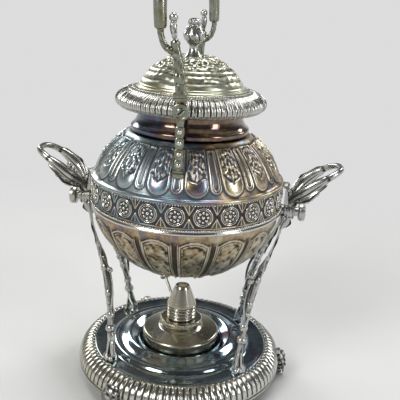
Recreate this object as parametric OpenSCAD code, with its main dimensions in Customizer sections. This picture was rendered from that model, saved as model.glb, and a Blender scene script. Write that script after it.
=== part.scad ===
// Spirit kettle on its stand, with a lift-out burner, a tilting kettle,
// a swinging bail handle and a hinged lid.
// The origin is on the table under the middle of the stand. +Z is up,
// +Y is the way the spout points, and the two tilting pins lie along X.
// All sizes are in millimetres.

/* [Kettle body] */
// Widest diameter of the kettle's body
body_d = 180.2; // [178:0.1:184]
// Height of the widest line of the body above the table
belly_z = 190; // [189.5:0.1:190.5]
// Half height of the domed upper shell, as an ellipse
dome_h = 75; // [74.6:0.1:76]
// Half height of the lower bowl, as an ellipse
bowl_h = 80.3; // [79:0.1:81]
// Thickness of the silver-plated sheet
wall = 1.4; // [1.2:0.1:1.6]
// Height of the band of rosettes round the body
frieze_h = 24; // [22:0.5:25]
// Height of the band's lower edge above the table
frieze_z = 182.4; // [182:0.1:183.4]
// How far the mouldings stand out from the body
moulding_out = 1.2; // [0.8:0.1:1.4]
// Diameter of the small disc under the bowl
cap_d = 56; // [50:1:60]
// Height of the small disc under the bowl
cap_h = 6; // [5:0.5:6.5]

/* [Neck and lid] */
// Outer diameter of the neck at its narrowest
neck_d = 97; // [96:0.5:98]
// Height of the neck from the upper shell to the mouth
neck_h = 22; // [21:0.5:22]
// How far the ring at the foot of the neck stands out
neck_ring = 6.4; // [5:0.2:7]
// Outer diameter of the lid's gadrooned brim
brim_d = 137.2; // [134:0.2:140]
// Height of the brim from its lower edge to the dome
brim_h = 17; // [15:0.5:18]
// Diameter of the lid's dome where it meets the brim
dome_d = 101; // [98:0.5:103]
// Height of the lid's dome above the brim
lid_dome_h = 27.8; // [25:0.2:29]
// Height of the bud finial above the dome's dished middle
finial_h = 38; // [34:0.5:39]
// Largest radius of the bud finial
finial_r = 9.5; // [8:0.1:10]
// How deep the lid's bezel reaches into the neck
bezel_h = 9; // [6:0.5:11]
// Gap between the bezel and the neck
bezel_gap = 0.8; // [0.5:0.1:1.2]
// Outer radius of the lid hinge's knuckles
knuckle_r = 2.8; // [2.5:0.1:3]
// Radius of the lid hinge's pin
hinge_pin_r = 1.25; // [1:0.05:1.5]

/* [Spout] */
// How far the spout's tip is from the kettle's middle
spout_reach = 151; // [146:1:154]
// Height of the spout's tip above the table
spout_tip_z = 226; // [222:1:230]
// Outer radius of the spout at its root
spout_root_r = 14.5; // [12:0.5:16]
// Outer radius of the spout at its tip
spout_tip_r = 6.8; // [6:0.2:8]

/* [Bail handle] */
// Distance from the kettle's middle to the outer face of the hinge strap
strap_out = 81.4; // [81:0.1:82.6]
// Height of the bail's hinge above the table
bail_z = 280; // [279:0.5:282]
// Width of the hinge strap
strap_w = 7.8; // [7:0.2:9]
// Thickness of the hinge strap and of the bail's tang
strap_t = 2.8; // [2.4:0.1:2.9]
// Radius of the round eye at the hinge
eye_r = 7.2; // [6.6:0.1:7.4]
// Radius of the bail's hinge screw
bail_screw_r = 2; // [1.8:0.1:2.4]
// Height of the bail's grip above its hinge
bail_h = 126; // [118:1:128]
// How far the bail leans to the left where it is left standing
bail_lean = 3; // [0:0.5:5]
// How far each tube of the bail stands to the side of its hinge
tube_side = 14.8; // [12:0.1:16]
// Radius of the bail's tube where it is thickest
tube_r = 6.4; // [5.5:0.1:6.6]
// Radius of the grip in its middle
grip_r = 8.6; // [8:0.1:10]
// Length of the grip between its two insulating rings
grip_l = 56; // [48:1:60]
// Thickness of each insulating ring
ring_t = 2; // [1.5:0.1:3]

/* [Stand] */
// Diameter of the base at its rim
base_d = 206; // [204:1:212]
// Height of the tray above the table
tray_z = 30.3; // [29:0.1:31]
// Height of the rim's lower edge above the table
rim_low_z = 9; // [7:0.5:11]
// Width of the gadrooned rim
rim_w = 16.1; // [14:0.1:17]
// Radius of the raised ring on the tray
tray_ring_r = 65.3; // [63.5:0.1:66]
// Radius of the raised ring round the burner's well
well_ring_r = 51.5; // [50:0.1:53]
// Inner radius of the burner's well
well_r = 41.5; // [41:0.1:43]
// Height of the well's floor above the table
well_floor_z = 14; // [13:0.5:16]
// Thickness of the stand's sheet metal
sheet = 1.5; // [1.2:0.1:1.8]
// Distance of the middle of each paw from the rim's inner edge
paw_in = 9.2; // [8:0.1:11]
// Direction of the paws from the X axis, in degrees
paw_az = 40; // [38:0.5:43]
// Radius of a leg in its upper part
leg_r = 3.3; // [2.8:0.1:3.5]
// Height of the tilting pins above the table
trunnion_z = 178; // [177:0.1:178.4]
// Radius of each tilting pin
pin_r = 3; // [2.6:0.1:3.2]
// Radius of the flat knob on each tilting pin
pin_knob_r = 9; // [8:0.1:10]
// Radius of the bracket's boss round the pin
boss_r = 7; // [6.4:0.1:7.2]
// Length of the bracket's boss along the pin
boss_l = 10.2; // [9:0.1:11]
// How far the side handle reaches out past the bracket's boss
handle_out = 38.7; // [36:0.1:42]
// How high the side handle's bar is above the pins
handle_up = 45.5; // [43:0.1:48]
// Half width of the side handle's loop
handle_half = 19; // [17:0.1:20]
// Radius of the side handle's bar
handle_bar_r = 3.9; // [3.4:0.1:4.4]

/* [Burner] */
// Radius of the burner's reservoir
res_r = 39; // [38.5:0.1:40]
// Height of the reservoir's side
res_h = 29; // [27:0.5:30]
// Radius of the knurled collar on the reservoir
collar_r = 21.7; // [20:0.1:24]
// Height of the knurled collar
collar_h = 5; // [4:0.5:6]
// Radius of the ribbed part of the wick tube
tube_rib_r = 14; // [13:0.1:15]
// Height of the ribbed part of the wick tube
tube_rib_h = 14.6; // [13:0.1:15]
// Height of the cone of the wick tube
cone_h = 20.6; // [18:0.1:22]
// Radius of the cone's top
cone_top_r = 7; // [6:0.1:8]
// Radius of the wick
wick_r = 4.2; // [3.6:0.1:4.6]
// Distance of the winding knob from the burner's middle
winder_out = 32.3; // [30:0.1:34]
// Slope of the winding shaft in degrees
winder_slope = 47.5; // [44:0.5:50]
// Radius of the winding shaft
winder_r = 1.5; // [1.2:0.1:1.7]
// Radius of the winding knob
winder_knob_r = 5.8; // [5:0.1:6.5]

/* [Clearances] */
// Gap round a pin or shaft that turns or slides in its hole
run_gap = 0.05; // [0.03:0.01:0.08]
// Gap between pieces that move past each other
move_gap = 0.3; // [0.3:0.05:0.5]
// Gap between pieces that are fixed side by side
seat_gap = 0.05; // [0.02:0.01:0.1]

/* [Hidden] */
$fn = 64;
silver = [0.72, 0.72, 0.7];
blued = [0.5, 0.52, 0.62];
gilt = [0.74, 0.66, 0.48];
nickel = [0.66, 0.65, 0.58];
cream = [0.85, 0.79, 0.64];
body_r = body_d / 2;
frieze_top = frieze_z + frieze_h;
shell_top = frieze_top + 42.4;
mouth_z = shell_top + neck_h;
neck_r = neck_d / 2;
// The lid sits on the mouth, and all its heights start there
lid_z = mouth_z + 1.2;
brim_r = brim_d / 2;
dome_r = dome_d / 2;
dome_z = lid_z + brim_h;
dish_z = dome_z + lid_dome_h - 4.5;
lid_t = 1.3;
bezel_r = neck_r - wall - 0.7 - bezel_gap;
// Half the width of the bezel's notch at the hinge
bezel_notch = 18;
flange_t = 1.2;
hinge_y = neck_r + 7.5;
hinge_z = mouth_z - 4.5;
knuckle_w = 7.4;
stud_r = 2.5;
// The kettle's side face at the pins, and what is stacked outwards from there
lug_x = body_r + moulding_out + 1.6;
// Radius of the kettle's lugs, and of the ball that the kettle sweeps as it tilts
lug_r = 6;
tilt_r = body_r + moulding_out + 0.9;
boss_x = lug_x + 0.5;
pin_in = body_r - 0.2;
pin_collar_x = boss_x + boss_l + move_gap;
pin_collar_l = 3.4;
pin_knob_t = 6.6;
// The stand's outlines
base_r = base_d / 2;
edge_r = base_r - rim_w;
paw_x = (edge_r - paw_in) * cos(paw_az);
paw_y = (edge_r - paw_in) * sin(paw_az);
well_t = 1.4;
well_lip_z = tray_z + 2.7;
paw_z = tray_z + 0.9;
leg_top_x = boss_x + 0.8;
leg_top_y = 6.9;
leg_top_z = trunnion_z - 4;
ankle_z = tray_z + 29.5;
ankle_y = paw_y - 5.5;
ankle_x = paw_x + 3.8;
// The burner's heights, from the floor of the well
res_z = well_floor_z + move_gap;
res_top = res_z + res_h;
collar_z = res_top + 7.2;
rib_z = collar_z + collar_h;
cone_z = rib_z + tube_rib_h;
tip_z = cone_z + cone_h;
winder_az = 129.4;
winder_in = 7.2;
winder_in_z = cone_z - 12.1;
winder_l = (winder_out - winder_in) / cos(winder_slope);
pinion_r = 3;
// The spout leaves the bowl here, and the strainer stands behind it
spout_root_z = belly_z - 44;
spout_root_y = bowl_r(spout_root_z) - 4;
spout_rise = spout_tip_z - spout_root_z;
spout_run = spout_reach - spout_root_y;
strainer_t = 1;
leg_stud_r = 1.5;
bracket_t = 6.4;
// The bail's planes along Y, from the outer face of the strap inwards
tang_out = strap_out - strap_t - move_gap;
tang_in = tang_out - strap_t;
arm_y = strap_out - 1.4;

// Points of an ellipse of half width a and half height b about height zc,
// from height z0 to height z1
function ellipse_points(a, b, zc, z0, z1, steps) =
    [for (i = [0:steps]) let (z = z0 + (z1 - z0) * i / steps)
        [a * sqrt(max(0, 1 - pow((z - zc) / b, 2))), z]];

function reversed(list) = [for (i = [len(list) - 1:-1:0]) list[i]];

// Radius of the body's outside at a height above the band or below it
function shell_r(z) = body_r * sqrt(1 - pow((z - belly_z) / dome_h, 2));
function bowl_r(z) = body_r * sqrt(1 - pow((z - belly_z) / bowl_h, 2));

// A smooth curve through a list of points, with steps pieces between each two
function spline(p, steps) =
    [for (i = [0:len(p) - 2], j = [0:steps - 1])
        let (a = p[max(0, i - 1)], b = p[i], c = p[i + 1], d = p[min(len(p) - 1, i + 2)],
             t = j / steps)
        0.5 * (2 * b + (c - a) * t + (2 * a - 5 * b + 4 * c - d) * t * t
            + (3 * b - a - 3 * c + d) * t * t * t),
     p[len(p) - 1]];

function unit(v) = v / norm(v);

// A tube of oval rings along a path. Each item of sizes holds the half sizes
// of its ring, first across the reference direction and then along it
module sweep(path, sizes, sides = 10, along = [0, 1, 0]) {
    last = len(path) - 1;
    points = [for (i = [0:last])
        let (t = unit(path[min(last, i + 1)] - path[max(0, i - 1)]),
             n = unit(cross(along, t)), b = cross(t, n))
        for (k = [0:sides - 1])
            path[i] + n * sizes[i][0] * cos(360 * k / sides)
                + b * sizes[i][1] * sin(360 * k / sides)];
    faces = concat(
        [[for (k = [0:sides - 1]) k]],
        [for (i = [0:last - 1], k = [0:sides - 1])
            let (m = (k + 1) % sides)
            [i * sides + k, (i + 1) * sides + k, i * sides + m]],
        [for (i = [0:last - 1], k = [0:sides - 1])
            let (m = (k + 1) % sides)
            [(i + 1) * sides + k, (i + 1) * sides + m, i * sides + m]],
        [[for (k = [sides - 1:-1:0]) last * sides + k]]);
    polyhedron(points, faces, convexity = 6);
}

// A smooth tube whose points and sizes are given together, four or five numbers each
module limb(stations, steps = 3, sides = 10, along = [0, 1, 0]) {
    path = spline([for (s = stations) [s[0], s[1], s[2]]], steps);
    sizes = spline([for (s = stations) [s[3], len(s) > 4 ? s[4] : s[3]]], steps);
    sweep(path, sizes, sides, along);
}

// Turns a shape made along +Z to lie along +X, on the side given by its sign
module along_x(side) {
    rotate([0, side * 90, 0]) children();
}

// The solid space inside the kettle's outer surface, up to the neck
module kettle_space() {
    rotate_extrude(convexity = 4, $fn = 180)
        polygon(concat(
            [[0, belly_z - bowl_h + 1]],
            ellipse_points(body_r, bowl_h, belly_z, belly_z - bowl_h + 1, frieze_z, 24),
            [[body_r, frieze_z], [body_r, frieze_top]],
            ellipse_points(body_r, dome_h, belly_z, frieze_top, shell_top, 16),
            [[0, shell_top]]));
}

// The lower bowl below the band, open at the top, closed at the bottom
module lower_bowl() {
    low = belly_z - bowl_h + cap_seat();
    color(gilt) difference() {
        rotate_extrude(convexity = 4)
            polygon(concat(
                [[0, low]],
                ellipse_points(body_r, bowl_h, belly_z, low, frieze_z, 22),
                reversed(ellipse_points(body_r - wall, bowl_h - wall, belly_z, low + wall,
                    frieze_z, 22)),
                [[0, low + wall]]));
        translate([0, 0, spout_root_z]) rotate([-90, 0, 0])
            cylinder(r = spout_root_r - wall - 1.5, h = body_r);
    }
}

// How far above the ellipse's lowest point the bowl is flattened for its cap
function cap_seat() = bowl_h * (1 - sqrt(1 - pow((cap_d / 2 + 3) / body_r, 2)));

// The small stepped disc under the bowl
module bottom_cap() {
    top = belly_z - bowl_h + cap_seat() - seat_gap;
    color(gilt) rotate_extrude()
        polygon([[0, top - cap_h], [cap_d / 2 - 7, top - cap_h], [cap_d / 2 - 5, top - cap_h + 1],
            [cap_d / 2 - 3, top - cap_h + 3], [cap_d / 2, top - 2], [cap_d / 2, top],
            [0, top]]);
}

// The upright band of rosettes between the bowl and the upper shell
module frieze_band() {
    color(silver) rotate_extrude(convexity = 4)
        polygon([[body_r - wall, frieze_z], [body_r - 0.3, frieze_z],
            [body_r, frieze_z + frieze_h / 2], [body_r - 0.3, frieze_top],
            [body_r - wall, frieze_top]]);
}

// The moulding under the band, cleared for the two tilting pins
module bead_moulding() {
    out = body_r + moulding_out;
    color(silver) difference() {
        rotate_extrude(convexity = 4)
            polygon([[bowl_r(frieze_z - 4.6) + seat_gap, frieze_z - 4.6],
                [out - 0.7, frieze_z - 4.2], [out, frieze_z - 3.4], [out, frieze_z - 2.4],
                [out - 0.6, frieze_z - 1.6], [out - 0.3, frieze_z - 0.6],
                [out - 0.6, frieze_z + 0.6], [body_r + seat_gap, frieze_z + 1.2],
                [body_r + seat_gap, frieze_z]]);
        for (side = [-1, 1])
            translate([0, 0, trunnion_z]) along_x(side)
                cylinder(r = pin_r + move_gap, h = lug_x + 1);
    }
}

// The upper shell, with the lip that overhangs the band
module upper_shell() {
    lip = body_r + moulding_out - 0.5;
    color(blued) rotate_extrude(convexity = 4)
        polygon(concat(
            [[body_r - wall, frieze_top], [lip, frieze_top], [lip + 0.3, frieze_top + 1],
             [lip - 0.2, frieze_top + 2]],
            ellipse_points(body_r, dome_h, belly_z, frieze_top + 3.2, shell_top, 16),
            [[shell_r(shell_top) - 5, shell_top + 0.4], [shell_r(shell_top) - 5, shell_top - 1.2]],
            reversed(ellipse_points(body_r - wall, dome_h - wall, belly_z, frieze_top,
                shell_top - 1.2, 16))));
}

// The neck, with a raised ring at its foot and a rolled mouth
module neck_collar() {
    foot = shell_top + 0.4 + seat_gap;
    inner = neck_r - wall - 0.7;
    color(blued) rotate_extrude(convexity = 4)
        polygon([[neck_r + 2.5, foot], [neck_r + neck_ring - 0.6, foot + 1.2],
            [neck_r + neck_ring, foot + 2.4], [neck_r + neck_ring, foot + 5.4],
            [neck_r + neck_ring - 1.4, foot + 6.4], [neck_r + 3, foot + 8.4],
            [neck_r + 1.2, foot + 11.5], [neck_r, foot + 15.5],
            [neck_r, mouth_z - 3], [neck_r + 0.8, mouth_z - 1.5], [neck_r + 0.4, mouth_z],
            [inner, mouth_z], [inner, foot + 12], [inner + 1.4, foot + 8],
            [neck_r + 1, foot + 5], [neck_r - 1, foot]]);
}

// The spout's middle line and thickness, from inside the bowl's wall to its tip
function spout_stations(thin, more) =
    [for (s = [[-0.12, -0.02, 1], [0.13, -0.02, 0.96], [0.34, 0.05, 0.76], [0.53, 0.22, 0.45],
               [0.64, 0.46, 0.2], [0.74, 0.7, 0.06], [0.87, 0.89, 0],
               [1 + more, 1 + more * 0.8, 0]])
        [0, spout_root_y + s[0] * spout_run, spout_root_z + s[1] * spout_rise,
         spout_tip_r + (spout_root_r - spout_tip_r) * s[2] - thin]];

// The hollow spout, cut to the bowl's outside at its root
module spout() {
    color(silver) difference() {
        limb(spout_stations(0, 0), 3, 20, [1, 0, 0]);
        limb(spout_stations(wall, 0.04), 3, 20, [1, 0, 0]);
        kettle_space();
        translate([0, 0, frieze_z - 5])
            cylinder(r = body_r + moulding_out + seat_gap, h = frieze_h + 8);
    }
}

// The pierced plate inside the bowl, behind the spout
module spout_strainer() {
    y = spout_root_y - 3.4;
    hole = 1.6;
    color(silver) difference() {
        intersection() {
            translate([0, y, spout_root_z]) rotate([-90, 0, 0])
                cylinder(r = spout_root_r - 1, h = strainer_t);
            rotate_extrude()
                polygon(concat([[0, belly_z - bowl_h + 4]], ellipse_points(body_r - wall - seat_gap,
                    bowl_h - wall, belly_z, belly_z - bowl_h + 4, frieze_z - 4, 16),
                    [[0, frieze_z - 4]]));
        }
        for (ring = [0:1], k = [0:5])
            translate([(ring == 0 ? 3.6 : 7.6) * cos(60 * k + 30 * ring), y - 1,
                spout_root_z + (ring == 0 ? 3.6 : 7.6) * sin(60 * k + 30 * ring)])
                rotate([-90, 0, 0]) cylinder(r = hole, h = strainer_t + 2, $fn = 24);
    }
}

// The boss on the kettle's side that takes a tilting pin
module trunnion_lug(side) {
    color(silver) difference() {
        translate([side * (body_r - 6), 0, trunnion_z]) along_x(side)
            cylinder(r = lug_r, h = lug_x - body_r + 6);
        rotate_extrude(convexity = 4, $fn = 360)
            polygon(concat([[0, belly_z - bowl_h + 4]],
                ellipse_points(body_r + seat_gap, bowl_h, belly_z, belly_z - bowl_h + 4,
                    frieze_z - 4.8, 18),
                [[body_r + moulding_out + seat_gap, frieze_z - 4.8],
                 [body_r + moulding_out + seat_gap, frieze_z + 2],
                 [body_r + seat_gap, frieze_z + 2], [body_r + seat_gap, frieze_top],
                 [0, frieze_top]]));
        translate([0, 0, trunnion_z]) along_x(side)
            cylinder(r = pin_r + run_gap, h = lug_x + 1);
    }
}

// A tilting pin with its collar and its flat round knob
module trunnion_pin(side) {
    knob_x = pin_collar_x + pin_collar_l;
    color(silver) translate([0, 0, trunnion_z]) along_x(side) {
        translate([0, 0, pin_in]) cylinder(r = pin_r, h = knob_x - pin_in + 1);
        translate([0, 0, pin_collar_x]) cylinder(r = pin_r + 1.4, h = pin_collar_l);
        translate([0, 0, knob_x]) rotate_extrude()
            polygon([[0, 0], [pin_knob_r - 2, 0], [pin_knob_r - 0.5, 0.8],
                [pin_knob_r, pin_knob_t / 2], [pin_knob_r - 0.5, pin_knob_t - 0.8],
                [pin_knob_r - 2, pin_knob_t], [0, pin_knob_t + 0.6]]);
    }
}

// The fixed strap that carries one end of the bail, on the front
module strap_shape() {
    foot_z = shell_foot_z();
    difference() {
        union() {
            translate([-strap_w / 2, -strap_out, foot_z + 3])
                cube([strap_w, strap_t, bail_z - foot_z - 3]);
            translate([0, -strap_out, bail_z]) rotate([-90, 0, 0])
                cylinder(r = eye_r, h = strap_t);
            translate([-strap_w / 2 - 1.6, -strap_out, foot_z - 3])
                cube([strap_w + 3.2, 9, 7]);
        }
        kettle_space();
        translate([0, -strap_out - 1, bail_z]) rotate([-90, 0, 0])
            cylinder(r = bail_screw_r + run_gap, h = strap_t + 2);
    }
}

// Height at which the strap's foot meets the shell
function shell_foot_z() =
    belly_z + dome_h * sqrt(1 - pow((strap_out - strap_t - 0.6) / body_r, 2));

module bail_strap(turn) {
    color(silver) rotate([0, 0, turn]) strap_shape();
}

// The domed studs down the face of each strap
module strap_studs() {
    color(silver) for (turn = [0, 180], k = [0:3])
        rotate([0, 0, turn])
            translate([0, -strap_out - seat_gap, bail_z - 16 - 9.2 * k]) rotate([90, 0, 0])
                rotate_extrude($fn = 24)
                    polygon([[0, 0], [2.7, 0], [2.3, 0.9], [1.4, 1.5], [0, 1.8]]);
}

// The slotted screws on which the bail swings
module bail_screws() {
    head_r = bail_screw_r + 1.7;
    head_t = 1.7;
    color(silver) for (turn = [0, 180])
        rotate([0, 0, turn]) difference() {
            translate([0, -strap_out - seat_gap, bail_z]) rotate([-90, 0, 0]) {
                translate([0, 0, -head_t]) cylinder(r = head_r, h = head_t);
                cylinder(r = bail_screw_r, h = strap_out - tang_in + move_gap + seat_gap);
                translate([0, 0, strap_out - tang_in + move_gap + seat_gap])
                    cylinder(r = bail_screw_r + 0.9, h = 1.1);
            }
            translate([0, -strap_out - head_t, bail_z]) rotate([0, 35, 0])
                cube([2 * head_r + 1, 1.4, 0.9], center = true);
        }
}

// Puts a piece of the bail on its hinge, leaning as it is left standing.
// The piece is made for the front arm, with its heights from the hinge
module bail_place(turn) {
    translate([0, 0, bail_z]) rotate([0, -bail_lean, 0]) rotate([0, 0, turn]) children();
}

// One arm of the bail: tang, moulded collar, flat arm and the twig's bend
module bail_arm(turn) {
    color(silver) bail_place(turn) {
        difference() {
            union() {
                translate([0, -tang_out, 0]) rotate([-90, 0, 0])
                    cylinder(r = eye_r - 0.6, h = strap_t);
                translate([-3.6, -tang_out, 0]) cube([7.2, strap_t, 12]);
                translate([-6.5, -strap_out - 1.2, eye_r + 2])
                    cube([13, strap_out + 1.2 - tang_in, 2.2]);
                translate([-5.6, -strap_out - 0.6, eye_r + 4.2])
                    cube([11.2, strap_out + 0.6 - tang_in, 1.8]);
                translate([-6.2, -strap_out - 1, eye_r + 6])
                    cube([12.4, strap_out + 1 - tang_in, 1.6]);
            }
            translate([0, -tang_out - 1, 0]) rotate([-90, 0, 0])
                cylinder(r = bail_screw_r + run_gap, h = strap_t + 2);
        }
        arm_twig(0);
    }
}

// The flat arm above the collar and its bend to the side, grown by a little
module arm_twig(more) {
    limb([for (s = [[0, eye_r + 6.5, 4.4, 2.2], [0, 26, 4.2, 1.9], [-0.3, 36, 4.2, 2],
                    [-2.8, 43, 4, 2.6], [-0.64 * tube_side, 47.6, 3.4, 3],
                    [-0.91 * tube_side, 52.6, 3, 3], [-tube_side, 59, 2.8, 2.8],
                    [-tube_side, 64 - 3 * seat_gap, 2.7, 2.7]])
              [s[0], -arm_y, s[1], s[2] + more, s[3] + more]], 2, 12);
}

// The leaf bud that stands up beside the tube, with a ball at its end
module bail_bud(turn) {
    color(silver) bail_place(turn) difference() {
        union() {
            limb([[-1.7, -arm_y, 45, 2, 1.8], [-2, -arm_y, 50, 3.2, 3], [-2.5, -arm_y, 56, 4, 3.8],
                  [-3, -arm_y, 63, 3.4, 3.4], [-3.2, -arm_y, 69, 2.2, 2.2]], 2, 12);
            translate([-3.2, -arm_y, 72.6]) sphere(r = 3.7, $fn = 24);
        }
        arm_twig(2 * seat_gap);
    }
}

// One of the two smooth tapering tubes that carry the grip
function grip_end() = [-grip_l / 2 * 0.12, -grip_l / 2, bail_h - 1.4];
function grip_out() = let(e = grip_end()) unit([e[0], e[1], 0.08 * e[1]]);
module bail_tube(turn) {
    end = grip_end() + grip_out() * (ring_t + 2 * seat_gap);
    color(silver) bail_place(turn)
        limb([[-tube_side, -arm_y, 64, 2.7], [-tube_side, -arm_y, 67.5, 5],
              [-tube_side, -arm_y + 0.4, 84, 0.83 * tube_r],
              [-0.96 * tube_side, -arm_y + 4, 0.78 * bail_h, 0.88 * tube_r],
              [-0.84 * tube_side, -arm_y + 12, 0.87 * bail_h, tube_r],
              [-0.63 * tube_side, -arm_y + 25, 0.94 * bail_h, tube_r],
              concat(end + 10 * grip_out(), [tube_r]),
              concat(end + 4 * grip_out(), [tube_r]), concat(end, [tube_r])], 3, 16, [1, 0, 0]);
}

// The two insulating rings between the tubes and the grip
module bail_rings() {
    color(cream) for (turn = [0, 180])
        bail_place(turn) {
            near = grip_end() + grip_out() * seat_gap;
            sweep([near + grip_out() * ring_t, near], [[tube_r + 0.9, tube_r + 0.9],
                [tube_r + 0.9, tube_r + 0.9]], 24, [1, 0, 0]);
        }
}

// The grip between the rings
module bail_grip() {
    e = grip_end();
    far = [-e[0], -e[1], e[2]];
    out = grip_out();
    back = [-out[0], -out[1], out[2]];
    color(silver) bail_place(0)
        limb([concat(e, [tube_r + 0.3]), concat(e - 4 * out, [tube_r + 0.7]),
              [0.4 * e[0], 0.4 * e[1], bail_h - 0.3, grip_r - 0.3], [0, 0, bail_h, grip_r],
              [-0.4 * e[0], -0.4 * e[1], bail_h - 0.3, grip_r - 0.3],
              concat(far - 4 * back, [tube_r + 0.7]), concat(far, [tube_r + 0.3])],
             4, 20, [1, 0, 0]);
}

// The lid's dome, with a dished middle for the finial
module lid_dome() {
    drop = lid_dome_h - 4.5;
    top = [[7, 0], [10, 2.6], [13.5, 4.3], [18, 4.2], [24, 2], [29, -1], [34, -4],
           [38.5, -7.4], [dome_r - 7.5, -13], [dome_r - 4, -18], [dome_r - 3.4, -19.6],
           [dome_r - 2.6, -20.2], [dome_r - 2, -21.6], [dome_r - 0.6, -22.2], [dome_r, 0.2 - drop]];
    color(gilt) rotate_extrude(convexity = 4)
        polygon(concat([[stud_r + run_gap, dish_z]], [for (p = top) [p[0], dish_z + p[1]]],
            [for (p = reversed(top)) [p[0] - 0.7, dish_z + max(p[1] - lid_t, 0.2 - drop)]],
            [[stud_r + run_gap, dish_z - lid_t]]));
}

// The brim: a shell open below, from the dome's edge round to its lower edge
module lid_brim() {
    top = [[dome_r - 4, 1], [dome_r + 1.8, 1], [dome_r + 2.6, 0.2], [brim_r - 12, -0.8],
           [brim_r - 6, -3], [brim_r - 2, -6.2], [brim_r, -9.6], [brim_r - 0.4, -12.4],
           [brim_r - 2, -14.6], [brim_r - 3.4, 0.4 - brim_h]];
    low = [[brim_r - 5.4, 0.4 - brim_h], [brim_r - 3.4, -13.6], [brim_r - 1.9, -11.6],
           [brim_r - 1.6, -9.8], [brim_r - 3.2, -7.4], [brim_r - 6.6, -4.6],
           [brim_r - 12.4, -2.4], [dome_r + 1.8, -1.2], [dome_r - 4, -0.6]];
    color(silver) rotate_extrude(convexity = 4)
        polygon([for (p = concat(top, low)) [p[0], dome_z - 0.8 + p[1] - seat_gap]]);
}

// The bezel that reaches into the neck, with the flat flange that closes the brim
module lid_bezel() {
    color(silver) difference() {
        rotate_extrude(convexity = 4)
            polygon([[bezel_r - 1.3, lid_z - bezel_h], [bezel_r, lid_z - bezel_h],
                [bezel_r, lid_z - 0.4], [brim_r - 5.6, lid_z - 0.4],
                [brim_r - 5.6, lid_z - 0.4 + flange_t], [dome_r - 2, lid_z - 0.4 + flange_t],
                [dome_r - 2, dome_z - 1.8], [dome_r - 3.3, dome_z - 1.8],
                [dome_r - 3.3, lid_z - 0.4 + flange_t],
                [bezel_r - 1.3, lid_z - 0.4 + flange_t]]);
        // Clear of the neck's edge beside the hinge when the lid opens
        translate([-bezel_notch, bezel_r - 2.5, lid_z - bezel_h - 1])
            cube([2 * bezel_notch, 10, bezel_h + 0.6]);
    }
}

// The bud finial, on a stud that passes through the dome
module lid_finial() {
    k = finial_h / 38;
    color(silver) translate([0, 0, dish_z + seat_gap]) {
        rotate_extrude()
            polygon([[0, 0], [6.8, 0], [7.6, 1.3], [8.2, 2.8 * k], [7.9, 4.2 * k], [6, 7 * k],
                [4.4, 10 * k], [3.9, 12.5 * k], [4.6, 15 * k], [0.83 * finial_r, 18.5 * k],
                [0.96 * finial_r, 20.6 * k], [finial_r, 22.4 * k], [0.97 * finial_r, 24.2 * k],
                [0.87 * finial_r, 26.2 * k], [0.68 * finial_r, 29.5 * k],
                [0.51 * finial_r, 31.5 * k], [0.64 * finial_r, 33.4 * k],
                [0.62 * finial_r, 35.8 * k], [0.33 * finial_r, 37.4 * k], [0, finial_h]]);
        translate([0, 0, -8]) cylinder(r = stud_r, h = 9);
    }
}

// The nut that holds the finial, inside the lid
module finial_nut() {
    color(silver) translate([0, 0, dish_z - lid_t - 3.4])
        difference() {
            cylinder(r = 5, h = 3.3, $fn = 6);
            translate([0, 0, -1]) cylinder(r = stud_r + run_gap, h = 6);
        }
}

// The lid's half of the hinge: the middle knuckle and its leaf under the flange
module lid_hinge_leaf() {
    top = lid_z - 0.4 - seat_gap;
    color(silver) difference() {
        union() {
            translate([-knuckle_w / 2, hinge_y, hinge_z]) rotate([0, 90, 0])
                cylinder(r = knuckle_r, h = knuckle_w);
            translate([-knuckle_w / 2, hinge_y - knuckle_r, hinge_z])
                cube([knuckle_w, 2 * knuckle_r, top - hinge_z]);
            translate([-knuckle_w / 2, hinge_y - knuckle_r, top - 1.2])
                cube([knuckle_w, 4 + 2 * knuckle_r, 1.2]);
        }
        translate([-knuckle_w, hinge_y, hinge_z]) rotate([0, 90, 0])
            cylinder(r = hinge_pin_r + run_gap, h = 2 * knuckle_w);
    }
}

// The neck's half of the hinge: two outer knuckles on a leaf soldered to the neck
module neck_hinge_leaf() {
    in_x = knuckle_w / 2 + move_gap;
    color(silver) difference() {
        union() {
            for (side = [-1, 1])
                translate([side * in_x, hinge_y, hinge_z]) rotate([0, side * 90, 0])
                    cylinder(r = knuckle_r, h = 6);
            for (side = [-1, 1])
                translate([side < 0 ? -in_x - 6 : in_x, neck_r - 2, hinge_z - knuckle_r])
                    cube([6, hinge_y - neck_r + 2, 2.2]);
            translate([-in_x - 6, neck_r - 2, hinge_z - knuckle_r - 2])
                cube([2 * in_x + 12, 4, 2.2]);
        }
        cylinder(r = neck_r + seat_gap, h = hinge_z + 20);
        rotate_extrude() polygon([[0, shell_top], [neck_r + neck_ring + 0.1, shell_top],
            [neck_r + neck_ring + 0.1, shell_top + 6.8], [neck_r + 3.2, shell_top + 9.2],
            [neck_r + 1.4, shell_top + 12.4], [neck_r + 0.2, shell_top + 16.6], [0, shell_top + 17]]);
        translate([-20, hinge_y, hinge_z]) rotate([0, 90, 0])
            cylinder(r = hinge_pin_r + seat_gap, h = 40);
    }
}

module lid_hinge_pin() {
    l = knuckle_w + 2 * move_gap + 12;
    color(silver) translate([-l / 2, hinge_y, hinge_z]) rotate([0, 90, 0])
        cylinder(r = hinge_pin_r, h = l);
}

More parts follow.
